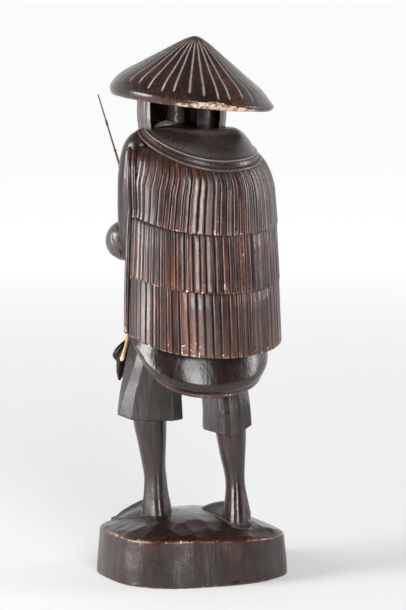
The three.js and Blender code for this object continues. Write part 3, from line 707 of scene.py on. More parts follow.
def reed_tier(levels, rise, seed):
    """One tier of reeds: levels are [z, half width, half depth, left edge in degrees] from its
    underside up. Reeds of uneven width are rounded, stand at uneven heights and have a V cut on each
    side and sometimes a shallow line down the middle. Past the last reed the rings turn inwards, so
    that the tier closes behind itself."""
    column = reed_columns(seed)
    reed, u = column["reed"], column["across_reed"]
    share = column["across_tier"]
    levels = np.asarray(levels, float)
    z, wide, deep, left = (levels[:, [i]] for i in range(4))
    edge = np.minimum(u, 1 - u)
    drift = 0.45 * wander(z * 0.09, reed * 0.8, seed) * (1 - 0.6 * np.clip((z - 258) / 8, 0, 1))
    rounded = 0.13 * (2 * u - 1) ** 2
    line = 0.4 * column["split"] * bump(u, 0.5, 0.05)
    cut = REED_DEPTH * bump(edge, 0, column["groove"]) + rounded + line
    cut = cut - column["stand"] * bump(edge, 0.5, 0.36) + 0.1 * wander(z * 0.16, reed * 2.1, seed + 1)
    cut = np.minimum(cut, 1.5)
    turn = CAPE_RIGHT_EDGE + (left - CAPE_RIGHT_EDGE) * share + drift * (share > 0)
    flare = shoulder_flare(turn, z)
    inwards = np.array([[1, 1], [0.97, 0.8], [0.9, 0.6], [0.62, 0.3]])
    x_share = np.concatenate([np.ones(len(share)), inwards[:, 0], inwards[::-1, 0]])
    y_share = np.concatenate([np.ones(len(share)), inwards[:, 1], inwards[::-1, 1]])
    last = np.repeat(left, len(inwards), 1)
    first = np.full_like(last, CAPE_RIGHT_EDGE - 0.6)
    turn = np.concatenate([turn, last, first], 1)
    flare = np.concatenate([flare, np.repeat(flare[:, -1:], len(inwards), 1), np.ones_like(first)], 1)
    cut = np.concatenate([cut, np.zeros_like(last), np.zeros_like(first)], 1)
    side = np.where(turn > 0, rise[0], rise[1])
    lift = side * (1 - np.cos(np.radians(turn)))
    wide = (wide - cut) * x_share * flare
    deep = (deep - cut) * y_share * flare
    rings = around(*CAPE_CENTRE, wide, deep, turn, z + lift)
    return form(rings, **reed_stain(column, z, turn, cut, seed))


def tier_levels(bottom, lower, upper, top):
    """Levels of a tier: its flat underside, its rounded lip, then evenly up to its tucked-in upper end
    and on to any levels on top. Each is [z, half width, half depth, left edge]."""
    lower, upper = np.array(lower, float), np.array(upper, float)
    under = lower - [0, bottom, bottom, 0]
    corner = lower + [0.05, -0.25, -0.25, 0]
    outward = [lower + [0.4, 0, 0, 0]]
    steps = [lower + (upper - lower) * s for s in (0.04, 0.08, *np.linspace(0.16, 0.94, 10), 0.97, 0.985)]
    tucked = [upper + [0, -0.6, -0.6, 0]]
    return [under, corner] + outward + steps + tucked + [np.array(row, float) for row in top]


def cape_reeds():
    """Three tiers of reeds, each lapping a little over the one below."""
    lowest = tier_levels(5.6, [CAPE_HEM, 61.8, 50.4, 89], [LOWER_BAND, 59.7, 48.7, 91], [
        [LOWER_BAND + 4, 57.4, 46.4, 91]])
    middle = tier_levels(4, [LOWER_BAND, 59.7 + LIP, 48.7 + LIP, 90], [UPPER_BAND, 57.9, 47.3, 91], [
        [UPPER_BAND + 4, 55.6, 45, 91]])
    highest = tier_levels(4, [UPPER_BAND, 57.9 + LIP, 47.3 + LIP, 90.5], [283, 56.2, 46.4, 89], [])
    highest = highest[:-1] + list(smooth_walk(CAPE_SHOULDER, 16))
    return [
        reed_tier(lowest, (15, 12), SEED + 20),
        reed_tier(middle, (12, 11), SEED + 21),
        reed_tier(highest, CAPE_RISE, SEED + 22),
    ]


def cape_border():
    """The cape's left edge, rubbed smooth: a long fold from the shoulder knot to the hem, and a shorter
    one beside it down to the upper band, each with painted shade along one side. Both follow the cape's
    surface: they are walks of [level, half width, half depth, angle] carried round and lifted like the
    reeds."""
    long_fold = [
        [309, 40, 36, 115], [306, 44.4, 39, 109], [302, 48.4, 41.4, 102], [296.5, 51.6, 43.6, 96],
        [288, 54.8, 45.6, 92], [276, 57, 47, 92], [262, 58.2, 47.8, 93], [246, 58.8, 48.2, 95],
        [215.2, 60.2, 49.2, 95], [192, 60.9, 49.7, 95], [168.6, 61.5, 50.2, 94],
    ]
    short_fold = [
        [308, 41.8, 37, 107], [304.5, 46, 40, 97], [299, 50.4, 42.8, 89.5], [292, 53.8, 45, 86],
        [281, 56.4, 46.6, 84.5], [268, 58, 47.6, 84.5], [256.4, 58.8, 48.2, 85],
    ]
    folds = []
    for walk, size in ((long_fold, 2.2), (short_fold, 2.1)):
        level, wide, deep, turn = (smooth_walk(walk, 60)[:, i] for i in range(4))
        out = shoulder_flare(turn, level)
        lift = CAPE_RISE[0] * (1 - np.cos(np.radians(turn)))
        path = around(*CAPE_CENTRE, wide * out + 0.1, deep * out + 0.1, turn, level + lift)
        width = size * np.linspace(0, 1, 60).clip(0.02, 0.1)[:, None] / 0.1
        facing = (np.linspace(0, 360, 20, endpoint=False) + 180) % 360 - 180
        # Painted shade along the side of each fold turned away from the light
        shade = 0.8 * bump(facing, -30, 25)
        folds.append(limb(np.hstack([path, width, width]), 20, 110, (0, 1, 0), red=0.3, deep=shade))
    return folds


def cape_yoke():
    """Smooth yoke over the shoulders. Its border is a shallow band between a cord below and a thin
    ridge above, which rise to the left shoulder by one minus the cosine of the angle and meet there."""
    stations = [
        [BORDER_LOW - 4, 22, 11, 43, 39], [BORDER_LOW - 1.4, 22, 11, 44.2, 40.2],
        [BORDER_LOW - 0.8, 22, 11, 45.4, 41.4], [BORDER_LOW + 0.4, 21.8, 10.8, 46.2, 42],
        [BORDER_LOW + 1.5, 21.7, 10.7, 45.5, 41.4], [BORDER_LOW + 2.2, 21.6, 10.6, 44.2, 40.4],
        [BORDER_LOW + 3.6, 21.2, 10.3, 43.5, 39.9], [BORDER_LOW + 5.2, 20.8, 9.9, 42.9, 39.4],
        [BORDER_HIGH - 1.2, 20.3, 9.3, 42.2, 38.9],
        [BORDER_HIGH - 0.5, 20.1, 9.1, 42.8, 39.5], [BORDER_HIGH + 0.2, 20, 9, 42.4, 39.1],
        [BORDER_HIGH + 1, 19.5, 8.6, 41.4, 38.2], [315.6, 17, 7.2, 39.4, 36], [320.6, 13.6, 5.8, 36.6, 32.8],
        [326, 8.4, 4, 32.6, 28.2], [330.6, 3.6, 1.6, 28.2, 22.8], [SHOULDER_TOP, 0, 0, 23.6, 17],
    ]
    rows = 110
    z, rise_left, rise_right, wide, deep = (smooth_walk(stations, rows)[:, [i]] for i in range(5))
    degrees = np.linspace(-180, 180, 168, endpoint=False)[None, :]
    turned = np.minimum(np.abs(degrees), 110)
    rise = np.where(degrees > 0, rise_left, rise_right)
    front = 1 - 0.45 * np.clip((np.abs(degrees) - 98) / 14, 0, 1)
    flare = shoulder_flare(degrees, 300) ** (0.4 * np.clip((SHOULDER_TOP - z) / 22, 0, 1))
    flare = np.where(degrees > 120, 1, flare)
    height = np.minimum(z + rise * (1 - np.cos(np.radians(turned))), SHOULDER_TOP)
    height = height - 0.5 * np.clip((z - BORDER_HIGH) / 6, 0, 1) * wander(degrees * 0.09, z * 0.3, SEED + 30)
    rings = around(*YOKE_CENTRE, wide * flare, deep * front * flare, degrees, height)
    cord = bump(z, BORDER_LOW + 0.3, 1.0)
    thin = bump(z, BORDER_HIGH - 0.4, 0.5)
    # Painted shade in the creases beside the cord and beside the thin ridge
    line = bump(z, BORDER_LOW + 2.5, 0.7) + bump(z, BORDER_LOW - 1.8, 0.8) + bump(z, BORDER_HIGH - 1.6, 0.5)
    above = np.clip((z - BORDER_HIGH - 0.6) / 3, 0, 1)
    # Pale dust along the border and the shoulder's top, and a painted sheen over the yoke's upper face
    dust_and_painted_light = above * (0.03 + 0.1 * wander(degrees * 0.12, z * 0.3, SEED + 31).clip(-0.2, 1))
    dust_and_painted_light = dust_and_painted_light + 0.06 * bump(z, BORDER_HIGH + 2.4, 1.8) + 0.1 * bump(z, SHOULDER_TOP - 1.5, 2)
    return form(rings, red=0.1 + 0.2 * cord + 0.25 * (z < BORDER_HIGH - 1), wear=0.05 * cord,
                dust=(0.45 * thin + 0.1 * cord + dust_and_painted_light).clip(0, 1), deep=0.8 * line)


def collar():
    """The cape's edge behind the neck: a low uneven roll, its crest rubbed pale."""
    path = [
        [24, -12.6, 331, 1.6, 1.6], [20.4, -11, 333.4, 2.6, 2.4], [16.4, -9.2, 335, 3, 2.8],
        [12, -7.2, 334.2, 3, 2.6], [6, -4.8, 332.4, 2.8, 2.2], [0, -3.4, 331, 1.6, 1.4],
    ]

    def lumps(degrees, along):
        return 1 + 0.14 * wander(degrees * 0.05, along * 26, SEED + 32)

    turn = np.linspace(0, 360, 28, endpoint=False)[None, :]
    along = np.linspace(0, 1, 40)[:, None]
    crest = bump(np.minimum(turn, 360 - turn), 0, 50) * bump(along, 0.3, 0.18)
    return limb(path, 28, 40, (0, 0, 1), lumps, wear=0.9 * crest, dust=0.3)


def arms():
    """Both arms: full sleeves to the bent elbows, the right one's gathered cuff, wrists, and hands with
    four curled fingers, the left one with its thumb on top."""
    down = (0, 0, 1)
    outward = (1, 0, 0)

    def gathers(count, depth, lean):
        """Folds round a cuff: a power of a sine of the angle that leans along the forearm."""
        def swell(degrees, along):
            wave = np.abs(np.sin(np.radians(degrees * count / 2 + lean * along)))
            return 1 - depth * (1 - wave ** 0.7) * bump(along, 0.55, 0.42)
        return swell

    def creases(degrees, along):
        return 1 - 0.05 * bump(np.sin(np.radians(degrees + 70 * along)), 0.4, 0.14) * bump(along, 0.75, 0.3)

    left_sleeve = [
        [33, -4, 329, 8.5, 8], [37, -7, 318, 14, 13], [39.6, -11, 300, 13.4, 13.5], [40, -14, 280, 12, 13],
        [39, -16, 262, 11.6, 13], [38, -18, 246, 10.4, 11.5], [38, -19, 238, 5, 6],
    ]
    right_sleeve = [
        [-33, -4, 325, 7, 8], [-39, -7, 311, 12, 12.5], [-45, -12, 286, 12, 12.5], [-47, -18, 262, 12, 13],
        [-46, -22, 244, 10, 11], [-44, -24, 236, 5, 6],
    ]
    right_cuff = [
        [-50, -14, 248, 8, 8], [-47, -23, 243, 13.6, 12], [-39, -32, 236, 13.4, 11.4],
        [-29, -38, 228, 10.6, 9],
    ]
    left_wrist = [[34, -38, 248, 6.5, 5.5], [28, -42, 248, 6.2, 5.2], [23, -45, 247.5, 7, 5.4]]
    right_wrist = [[-30, -38, 228, 6.4, 5.6], [-22, -43, 221, 6, 5.2], [-14, -46.5, 213, 6.8, 5]]
    left_thumb = [[26, -46, 254, 2.6, 2.6], [22, -50.4, 256, 2.5, 2.5], [17.6, -50.6, 256.4, 2, 2]]
    parts = [
        limb(left_sleeve, 48, 50, outward, creases), limb(right_sleeve, 48, 50, outward, creases),
        limb(right_cuff, 96, 48, down, gathers(16, 0.11, -90)),
        limb(left_wrist, 32, 20, down), limb(right_wrist, 32, 20, down),
        lump((22.6, -46.2, 247.2), (5.6, 4.6, 8)), lump((-11, -47.6, 210.6), (6, 4.4, 6.4), 20),
    ]
    for height in (-6, -2, 2, 6):
        finger = [[27, -44.4, height, 2.3, 2.3], [25, -50, height, 2.4, 2.4], [20, -52.6, height, 2.4, 2.4],
                  [15.4, -50, height, 2.3, 2.3], [15.2, -46.4, height, 1.9, 1.9]]
        parts.append(limb([[x, y, 247.2 + z, a, b] for x, y, z, a, b in finger], 16, 20, down))
    parts.append(limb(left_thumb, 16, 14, down))
    axis = np.array([0.77, 0, -0.64])
    up = np.array([0.64, 0, 0.77])
    for place in (-5.4, -1.8, 1.8, 5.4):
        root = np.array([-8, -46, 208.4]) + axis * place
        bends = [root + up * 9 + [0, 1, 0], root + up * 6.4 + [0, -5.4, 0], root + [0, -8.4, 0],
                 root - up * 6 + [0, -5.6, 0], root - up * 8.4 + [0, 0, 0]]
        parts.append(limb([[*p, 2.2, 2.2] for p in bends], 16, 20, axis))
    return parts


def left_cuff():
    """The smooth full cuff of the left sleeve: an egg with creases that fan out from the inside of the
    elbow. Each crease is [across, up, direction, depth, reach]: it starts at a place as the camera
    sees it and runs in a direction counted from the left upwards."""
    centre, size = np.array([40.2, -27.6, 249.2]), (13.6, 14.6, 14.9)
    egg = lump_rings(centre, size, 60, 200, 110)
    creases = [(-50.4, 239, 60, 0.9, 18), (-50.4, 238, 80, 0.3, 9), (-52.4, 236.5, 52, 0.4, 14),
               (-52.4, 236, 34, 0.4, 11), (-53, 236, 16, 0.35, 9), (-52.4, 235.6, 2, 0.3, 6)]
    bearing = math.radians(CAMERA_BEARING)
    across = egg[..., 0] * -math.cos(bearing) + egg[..., 1] * math.sin(bearing)
    cut = 0
    for start, height, direction, depth, reach in creases:
        c, s = math.cos(math.radians(direction)), math.sin(math.radians(direction))
        way = (start - across) * c + (egg[..., 2] - height) * s
        aside = (start - across) * s - (egg[..., 2] - height) * c + 0.012 * (way - reach / 2) ** 2
        cut = cut + depth * bump(aside, 0, 0.55) * np.clip(way / 2, 0, 1) * np.clip((reach - way) / 5, 0, 1)
    outward = (egg - centre) / np.linalg.norm(egg - centre, axis=-1, keepdims=True)
    # Painted shade in the creases
    return form(egg - outward * cut[..., None], red=0.3, deep=(0.8 * cut).clip(0, 0.8), dust=0.1)


def fish():
    """A fish held against the belly, its forked tail out past the left hip. Scales are left plain; the
    gill is a shallow step and the tail's lobes carry fine rays."""
    up = (0.6, 0, 0.8)
    body = [
        [-27, -44, 221, 1.6, 1.6], [-20, -45, 216.5, 7.4, 5], [-8, -45.5, 207, 10.6, 7],
        [7, -44, 194, 10.6, 7], [21, -42, 181, 7, 5], [31, -40, 171, 4, 3], [35, -39.5, 166.5, 3.6, 2.4],
    ]

    def gill(_, along):
        return 1 - 0.07 * bump(along, 0.2, 0.018)

    def rays(degrees, along):
        return 1 - 0.1 * np.abs(np.sin(np.radians(degrees * 4))) * along

    def lobe(tip, sizes):
        root, end = np.array([33, -39.8, 170]), np.array(tip, float)
        walk = [[*(root + (end - root) * share), wide, thick] for share, wide, thick in sizes]
        return limb(walk, 32, 24, (0.75, 0.2, 0.65), rays)

    upper = [(0, 4, 2.6), (0.5, 6.2, 2.6), (0.85, 5.8, 2.2), (1, 2.6, 1.2)]
    lower = [(0, 4, 2.6), (0.4, 6.2, 2.6), (0.7, 5, 2.2), (0.9, 2.6, 1.6), (1, 1, 0.8)]
    tail = [lobe([41, -41.6, 158], upper), lobe([38.4, -41.2, 142.5], lower)]
    return [limb(body, 36, 60, up, gill)] + tail


def robe():
    """Crossed lapels on the chest, the left one on top, and a sash round the waist with two lines along
    it, knotted in front with one end hanging down."""
    sash = upright([
        [-1, -1, 223.6, 41.6, 34.4], [-1, -1, 225.6, 43.4, 36.4], [-1, -1, 231.5, 44, 37],
        [-1, -1, 237.4, 43.4, 36.4], [-1, -1, 239.4, 41.6, 34.4],
    ], 120, 25, lambda degrees, up: 1 - 0.012 * (bump(up, 0.36, 0.05) + bump(up, 0.66, 0.05)))

    def lapel(side, out):
        path = [[3 + side * 19, -20, 331], [2 + side * 17, -31.5, 316], [1 + side * 9, -35, 296],
                [-side * 4, -35.6, 270], [-side * 12, -33, 240]]
        return limb([[x, y - out, z, 4, 2.3] for x, y, z in path], 24, 40, (1, 0, 0))

    knot = [lump((-3, -38, 231.5), (5.4, 4, 5.6)), lump((-10, -37, 233), (6, 2.8, 4), -8),
            lump((4.4, -37.4, 230), (6, 2.8, 4), 8)]
    tail = limb([[-5, -38.4, 229, 3, 1.6], [-7.6, -39.6, 220, 3.4, 1.7], [-9, -38.6, 212, 3.6, 1.6]],
                20, 16, (1, 0, 0))
    return [sash, lapel(-1, 0), lapel(1, 1.4), *knot, tail]


def face_relief(sideways, up):
    """How far a calm, plain face stands out of the egg: soft bumps for brows, nose, cheeks, lips and
    chin, hollows for the eyes, and closed lids with a fine line."""
    def spot(x, z, size_x, size_z):
        return bump(sideways, x, size_x) * bump(up, z, size_z)

    total = 4.4 * spot(0, -0.2, 0.12, 0.1) + 2.8 * spot(0, 0.0, 0.085, 0.2)
    total = total + 1.0 * spot(0, -0.27, 0.2, 0.05)
    for side in (-1, 1):
        total = total + 1.3 * spot(side * 0.3, 0.21, 0.24, 0.06) - 2.4 * spot(side * 0.33, 0.04, 0.16, 0.1)
        total = total + 1.5 * spot(side * 0.33, 0.02, 0.12, 0.06)
        total = total - 0.6 * spot(side * 0.33, -0.025, 0.13, 0.014)
        total = total + 1.2 * spot(side * 0.45, -0.22, 0.2, 0.16)
        total = total - 0.5 * spot(side * (0.2 + 0.25 * (-0.2 - up).clip(0, 1)), -0.36, 0.03, 0.12)
    total = total + 1.7 * spot(0, -0.45, 0.2, 0.045) + 1.6 * spot(0, -0.54, 0.17, 0.045)
    total = total - 0.9 * spot(0, -0.495, 0.22, 0.014) - 0.8 * spot(0, -0.63, 0.2, 0.04)
    return total + 1.8 * spot(0, -0.77, 0.2, 0.11)


def head():
    """Bowed head under the hat: an egg narrowing to the jaw, with the face's relief in front."""
    latitude = np.linspace(-math.pi / 2, math.pi / 2, 84)[1:-1, None]
    longitude = np.linspace(-math.pi, math.pi, 110, endpoint=False)[None, :]
    sideways = np.sin(longitude) * np.cos(latitude)
    forward = -np.cos(longitude) * np.cos(latitude)
    up = np.sin(latitude) + 0 * longitude
    jaw = 1 - 0.2 * np.maximum(0, -up) ** 1.5
    relief = face_relief(sideways, up) * np.clip((-forward - 0.15) / 0.2, 0, 1)
    x = sideways * HEAD["width"] * jaw
    y = forward * HEAD["depth"] - relief
    turn = math.radians(HEAD["turn"])
    turned_x = HEAD["x"] + x * math.cos(turn) - y * math.sin(turn)
    turned_y = HEAD["y"] + x * math.sin(turn) + y * math.cos(turn)
    return [form(np.stack([turned_x, turned_y, HEAD["z"] + up * HEAD["height"]], -1))]


def neck():
    """The nape: a thin column, roughly cut and painted pale grey: dust, and painted light where the hat
    shades it.
    """
    return upright([
        [4, -13, 328, 15, 13], [6, -13, 335, 8, 8], [6, -12.6, 339, 6.8, 6.8], [6, -12.6, 347, 6.5, 6.5],
        [5.8, -13, 366, 6.8, 8],
    ], 60, 80, lambda degrees, way: 1 + 0.05 * wander(degrees * 0.09, way * 40, SEED + 33), dust=0.14)


def head_cloth():
    """Curtains of cloth from under the hat past the cheeks, parted behind and drawn in under the chin
    in front, with upright pleats, and a plain piece of lining inside the right one. Each is a band
    between an outer and an inner arc that thins towards its upright edges."""
    def curtain(first, last, size, pleated, pale):
        share = np.linspace(0, 1, 70)[None, :]
        at = smooth_walk([[326, 1.0], [331, 0.97], [340, 1], [354, 1.0], [368, 0.98]], 30)
        z, swell = at[:, [0]], at[:, [1]]
        degrees = first + (last - first) * share
        turned = np.maximum(0, np.abs(degrees) - 105) / 45
        radius = np.maximum(size - 10 * turned ** 1.4, 16) * swell
        pleats = pleated * np.abs(np.sin(share * 11 * math.pi + 0.25 * np.sin(z * 0.2))) ** 0.7
        thick = 1 + 4 * np.clip(np.minimum(share, 1 - share) / 0.2, 0, 1)
        outer = around(0.2, -13.7, radius - 0.4 + pleats, radius - 0.4 + pleats, degrees, z)
        inner = around(0.2, -13.7, radius - thick, radius - thick, degrees, z)
        # Pale on the outer faces: dust, and painted light on the cloth's lit sides
        dust_and_painted_light = pale + 0.08 * wander(degrees * 0.3, z * 0.2, SEED + 34)
        return form(np.concatenate([outer, inner[:, ::-1]], 1), band=True,
                    dust=np.concatenate([dust_and_painted_light, 0 * dust_and_painted_light], 1).clip(0, 1))

    return [curtain(73, 176, 33.4, 0.6, 0.14), curtain(-31, -176, 33.4, 0.4, 0.1),
            curtain(4, -60, 27.4, 0.0, 0.0)]


def shoulder_knot():
    """The cloth's knot on the left shoulder: two lumps, with pleats fanning from them over the yoke."""
    knot = [lump((31, -13.4, 330), (4, 4.6, 3.2), 20), lump((32.4, -9, 328), (4, 4.4, 3.4), 40)]
    fan = []
    for reach, turn in ((14, 20), (16, 42), (15, 64), (12, 86)):
        angle = math.radians(turn)
        end = np.array([32 - reach * math.sin(angle), -10 + reach * math.cos(angle), 326 - 0.16 * reach])
        middle = (np.array([32, -11, 329.6]) + end) / 2
        pleat = [[32, -11, 328.6, 1.8, 1.6], [*middle, 1.5, 1.3], [*end, 0.8, 0.8]]
        fan.append(limb(pleat, 14, 14, (0, 0, 1)))
    return knot + fan


def on_figure(points, drop):
    """Hat points moved into place: shifted towards the lean in step with the drop, tipped about a level
    axis by Rodrigues' formula, and raised to the apex."""
    lean = math.radians(HAT_LEAN_TOWARD)
    share = (drop / HAT_RIM_DROP)[..., None]
    points = points + share * HAT_RIM_OFFSET * np.array([math.sin(lean), math.cos(lean), 0])
    turn, tip = math.radians(HAT_TILT_TOWARD + 90), math.radians(-HAT_TILT)
    axis = np.array([math.sin(turn), math.cos(turn), 0])
    turned = (points * math.cos(tip) + np.cross(axis, points) * math.sin(tip)
              + (points @ axis)[..., None] * axis * (1 - math.cos(tip)))
    return turned + np.array(HAT_APEX)


def hat_stain(station, degrees, radius, streak, cut):
    """How the hat is stained: redder in streaks down the back, its grooves pale with dust, paler behind
    where the light falls as a painted highlight and dark in front as painted shade, duller inside, and
    rubbed bare along a ragged stretch of the rim. station counts along the profile and streak round the
    hat."""
    turned = (degrees + 180) % 360 - 180
    # How fully the light falls on each side, for the painted highlight and shade in the grooves
    lit_side = 0.3 + 0.7 * bump(turned, 20, 85)
    ragged = 0.35 * wander(degrees * 0.5, station * 2, SEED + 44)
    patch = np.clip((turned + 26) / 16 + ragged, 0, 1) * np.clip((46 - turned) / 20 + ragged, 0, 1)
    thick = bump(turned, 13, 13)
    rim = np.clip((station - 9.8 + 1.5 * thick + 0.8 * patch + 1.2 * ragged) / 0.3, 0, 1)
    rim = rim * np.clip((11.4 - station) / 0.5, 0, 1)
    streaks = 0.5 + 0.9 * wander(streak, radius * 0.045, SEED + 45)
    inside = np.clip((station - 11.5) / 1.5, 0, 1)
    return {
        "red": (0.12 + 0.6 * streaks.clip(0, 1) * bump(turned, 0, 62)) * (1 - 0.7 * inside),
        "wear": (rim * (0.12 + 1.1 * patch)).clip(0, 1),
        "deep": 0.5 * cut * (1 - lit_side),
        "dust": cut * lit_side + 0.25 * inside,
    }


def hat():
    """Hat: one profile carried round its axis, over the rim and into the hollow. Grooves that widen a
    little outwards are cut along it: a bump across their width times a stretch of the radius with soft
    ends. The rim is a little wavy and nicked."""
    rng = np.random.default_rng(SEED + 40)
    local = np.array([-0.5, -0.34, -0.2, -0.11, -0.06, -0.03, 0, 0.03, 0.06, 0.11, 0.2, 0.34])
    jitter = np.repeat(rng.uniform(-0.1, 0.1, HAT_GROOVES), len(local))
    groove = np.repeat(np.arange(HAT_GROOVES), len(local))
    offset = np.tile(local, HAT_GROOVES)
    slope, rim_turn = np.linspace(2, 7, 31), np.linspace(7.15, 12.4, 30)
    rows = np.concatenate([[0, 0.7, 1.4], slope, rim_turn, [13, 13.6, 14.4, 16]])
    station = rows[:, None]
    radius, drop, lean = (smooth_walk(HAT_PROFILE, rows)[:, [i]] for i in range(3))
    bend = 0.14 * wander(radius * 0.05, groove * 1.7, SEED + 42)
    degrees = (groove + offset + jitter + bend) * 360 / HAT_GROOVES
    start = rng.uniform(HAT_GROOVE_START, HAT_GROOVE_START + 5, HAT_GROOVES)[groove]
    end = rng.uniform(HAT_GROOVE_END - 2.6, HAT_GROOVE_END, HAT_GROOVES)
    end[HAT_SHORT_GROOVE] -= HAT_SHORTENED_BY
    end = end[groove]
    width = np.radians(offset * 360 / HAT_GROOVES) * radius
    stretch = np.clip((radius - start) / 4, 0, 1) * np.clip((end - radius) / 0.9, 0, 1) * (station < 9)
    cut = bump(width, 0, HAT_GROOVE_WIDTH * (0.6 + 0.4 * radius / HAT_GROOVE_END)) * stretch
    leaning = lean * (0.5 + 0.5 * np.cos(np.radians(degrees - HAT_LEAN_TOWARD)))
    uneven = 0.3 * wander(degrees * 0.05, radius * 0.07, SEED + 41) * np.clip(radius / 20, 0, 1)
    nicks = 0.5 * wander(degrees * 0.33, 0, SEED + 43) * bump(station, 10.4, 0.9)
    height = -drop - leaning - HAT_GROOVE_DEPTH * cut + uneven * (station < 13) + nicks
    points = around(0, 0, radius, radius, degrees, height)
    streak = groove * 2.3 + offset * 5
    return form(on_figure(points, drop), **hat_stain(station, degrees, radius, streak, cut))


def neighbour_mean(edges, values, count):
    """The mean of each point's neighbours over the mesh's edges."""
    total = np.zeros((count,) + values.shape[1:])
    links = np.bincount(edges.ravel(), minlength=count)
    np.add.at(total, edges[:, 0], values[edges[:, 1]])
    np.add.at(total, edges[:, 1], values[edges[:, 0]])
    links = np.maximum(links, 1)
    return total / (links[:, None] if values.ndim > 1 else links)


def wear_and_painted_shade(mesh):
    """Wear and painted shade from the shape. A point's height over the mean of its neighbours, along the
    normal and over the mean edge length, smoothed, is wear where it stands out and painted shade where
    it lies in.
    Points made where forms meet hold no stain, and first take their neighbours' mean."""
    count = len(mesh.vertices)
    places, normals = np.zeros(count * 3), np.zeros(count * 3)
    mesh.vertices.foreach_get("co", places)
    mesh.vertex_normals.foreach_get("vector", normals)
    places, normals = places.reshape(-1, 3), normals.reshape(-1, 3)
    edges = np.zeros(len(mesh.edges) * 2, int)
    mesh.edges.foreach_get("vertices", edges)
    edges = edges.reshape(-1, 2)
    lengths = np.linalg.norm(places[edges[:, 0]] - places[edges[:, 1]], axis=1)
    around_it = neighbour_mean(edges, places, count)
    links = np.maximum(np.bincount(edges.ravel(), minlength=count), 1)
    spread = np.bincount(edges.ravel(), np.repeat(lengths, 2), count) / links
    height = ((places - around_it) * normals).sum(1) / np.maximum(spread, 1e-6)
    for _ in range(2):
        height = 0.5 * height + 0.5 * neighbour_mean(edges, height, count)
    new = painted(mesh, "red") == 0
    for key in STAINS:
        values = painted(mesh, key).astype(float)
        filled = neighbour_mean(edges, values, count)
        values = np.where(new, filled, values)
        if key == "wear":
            values = values + np.clip((height - 0.11) * 1.8, 0, 0.32) * (~new)
        # Hollows painted darker as painted shade
        if key == "deep":
            values = values + np.clip((-height - 0.06) * 3, 0, 0.7)
        paint(mesh, key, np.clip(values, 0, 1))


def carved_figure():
    """The whole carving: every form joined into one solid, the rod's hole drilled through the fist, and
    the faces thinned to a set number where the surface is flattest."""
    whole = object_of("carved_figure", [base()])
    solids = [object_of("leg", [leg]) for leg in trousers()]
    # The bare legs and feet, the feet painted darker as painted shade
    solids += [melted("legs", bare_legs(), voxel=0.7, passes=5, keep=0.34, painted_shade=feet_painted_shade)]
    solids += [object_of("tunic", [tunic()]), object_of("torso", [torso()])]
    solids += [object_of("tier", [tier]) for tier in cape_reeds()]
    solids += [object_of("border", [fold]) for fold in cape_border()]
    solids += [object_of("yoke", [cape_yoke()])]
    solids += [melted("arms", arms() + fish() + shoulder_knot(), voxel=0.8, passes=2, keep=0.34)]
    solids += [object_of("part", [part]) for part in (left_cuff(), collar(), neck())]
    solids += [object_of("robe", [part]) for part in robe()]
    solids += [melted("head", head(), voxel=0.7, passes=1, keep=0.4)]
    solids += [object_of("cloth", [part]) for part in head_cloth()]
    solids += [object_of("hat", [hat()])]
    for solid in solids:
        combine(whole, solid, "UNION")
    combine(whole, object_of("hole", [form(rod_rings(ROD_CLEARANCE))]), "DIFFERENCE")
    wear_and_painted_shade(whole.data)
    whole.data.calc_loop_triangles()
    thin = whole.modifiers.new("thin", "DECIMATE")
    thin.ratio = min(1, FIGURE_TRIANGLES / len(whole.data.loop_triangles))
    settle(whole)
    whole.data.shade_smooth()
    whole.data.set_sharp_from_angle(angle=math.radians(42))
    return whole


def rod_rings(extra):
    """The rod's surface: rings along its bent path, thinner to the tip, with a swelling at each joint,
    and a rounded butt. extra widens it."""
    table = np.array(ROD_PATH, float)
    share = np.linspace(0, 1, len(table))[:, None]
    radius = ROD_BUTT_RADIUS + (ROD_TIP_RADIUS - ROD_BUTT_RADIUS) * share
    stations = np.hstack([table, radius, radius])
    rows = np.concatenate([[0, 0.01, 0.03, 0.06], np.linspace(0.1, len(table) - 1, 180)])

    def joints(_, along):
        way = rows[:, None] / (len(table) - 1)
        swell = sum(0.7 * bump(way, at, 0.007) - 0.1 * bump(way, at + 0.016, 0.007) for at in ROD_JOINTS)
        slim = 0.76 + 0.22 * bump(way, 0, 0.03) + 0.24 * np.clip((way - 0.2) / 0.1, 0, 1)
        slim = slim - 0.05 * np.clip((way - 0.9) / 0.1, 0, 1)
        butt = np.sqrt(np.clip(way / 0.01, 0.12, 1)) * slim
        return (1 + swell) * butt if extra == 0 else 1 + 0 * way

    rings = limb_rings(stations, 16, rows, (1, 0, 0), joints)
    middle = smooth_walk(stations, rows)[:, None, :3]
    outward = rings - middle
    return middle + outward * (1 + extra / np.maximum(np.linalg.norm(outward, axis=-1, keepdims=True), 0.1))


def fishing_rod():
    """The rod as a piece, painted with its share of the way from the butt."""
    rings = rod_rings(0)
    way = np.linspace(0, 1, len(rings))[:, None]
    rod = object_of("fishing_rod", [form(rings, red=way + 0.01)])
    rod.data.shade_smooth()
    return rod


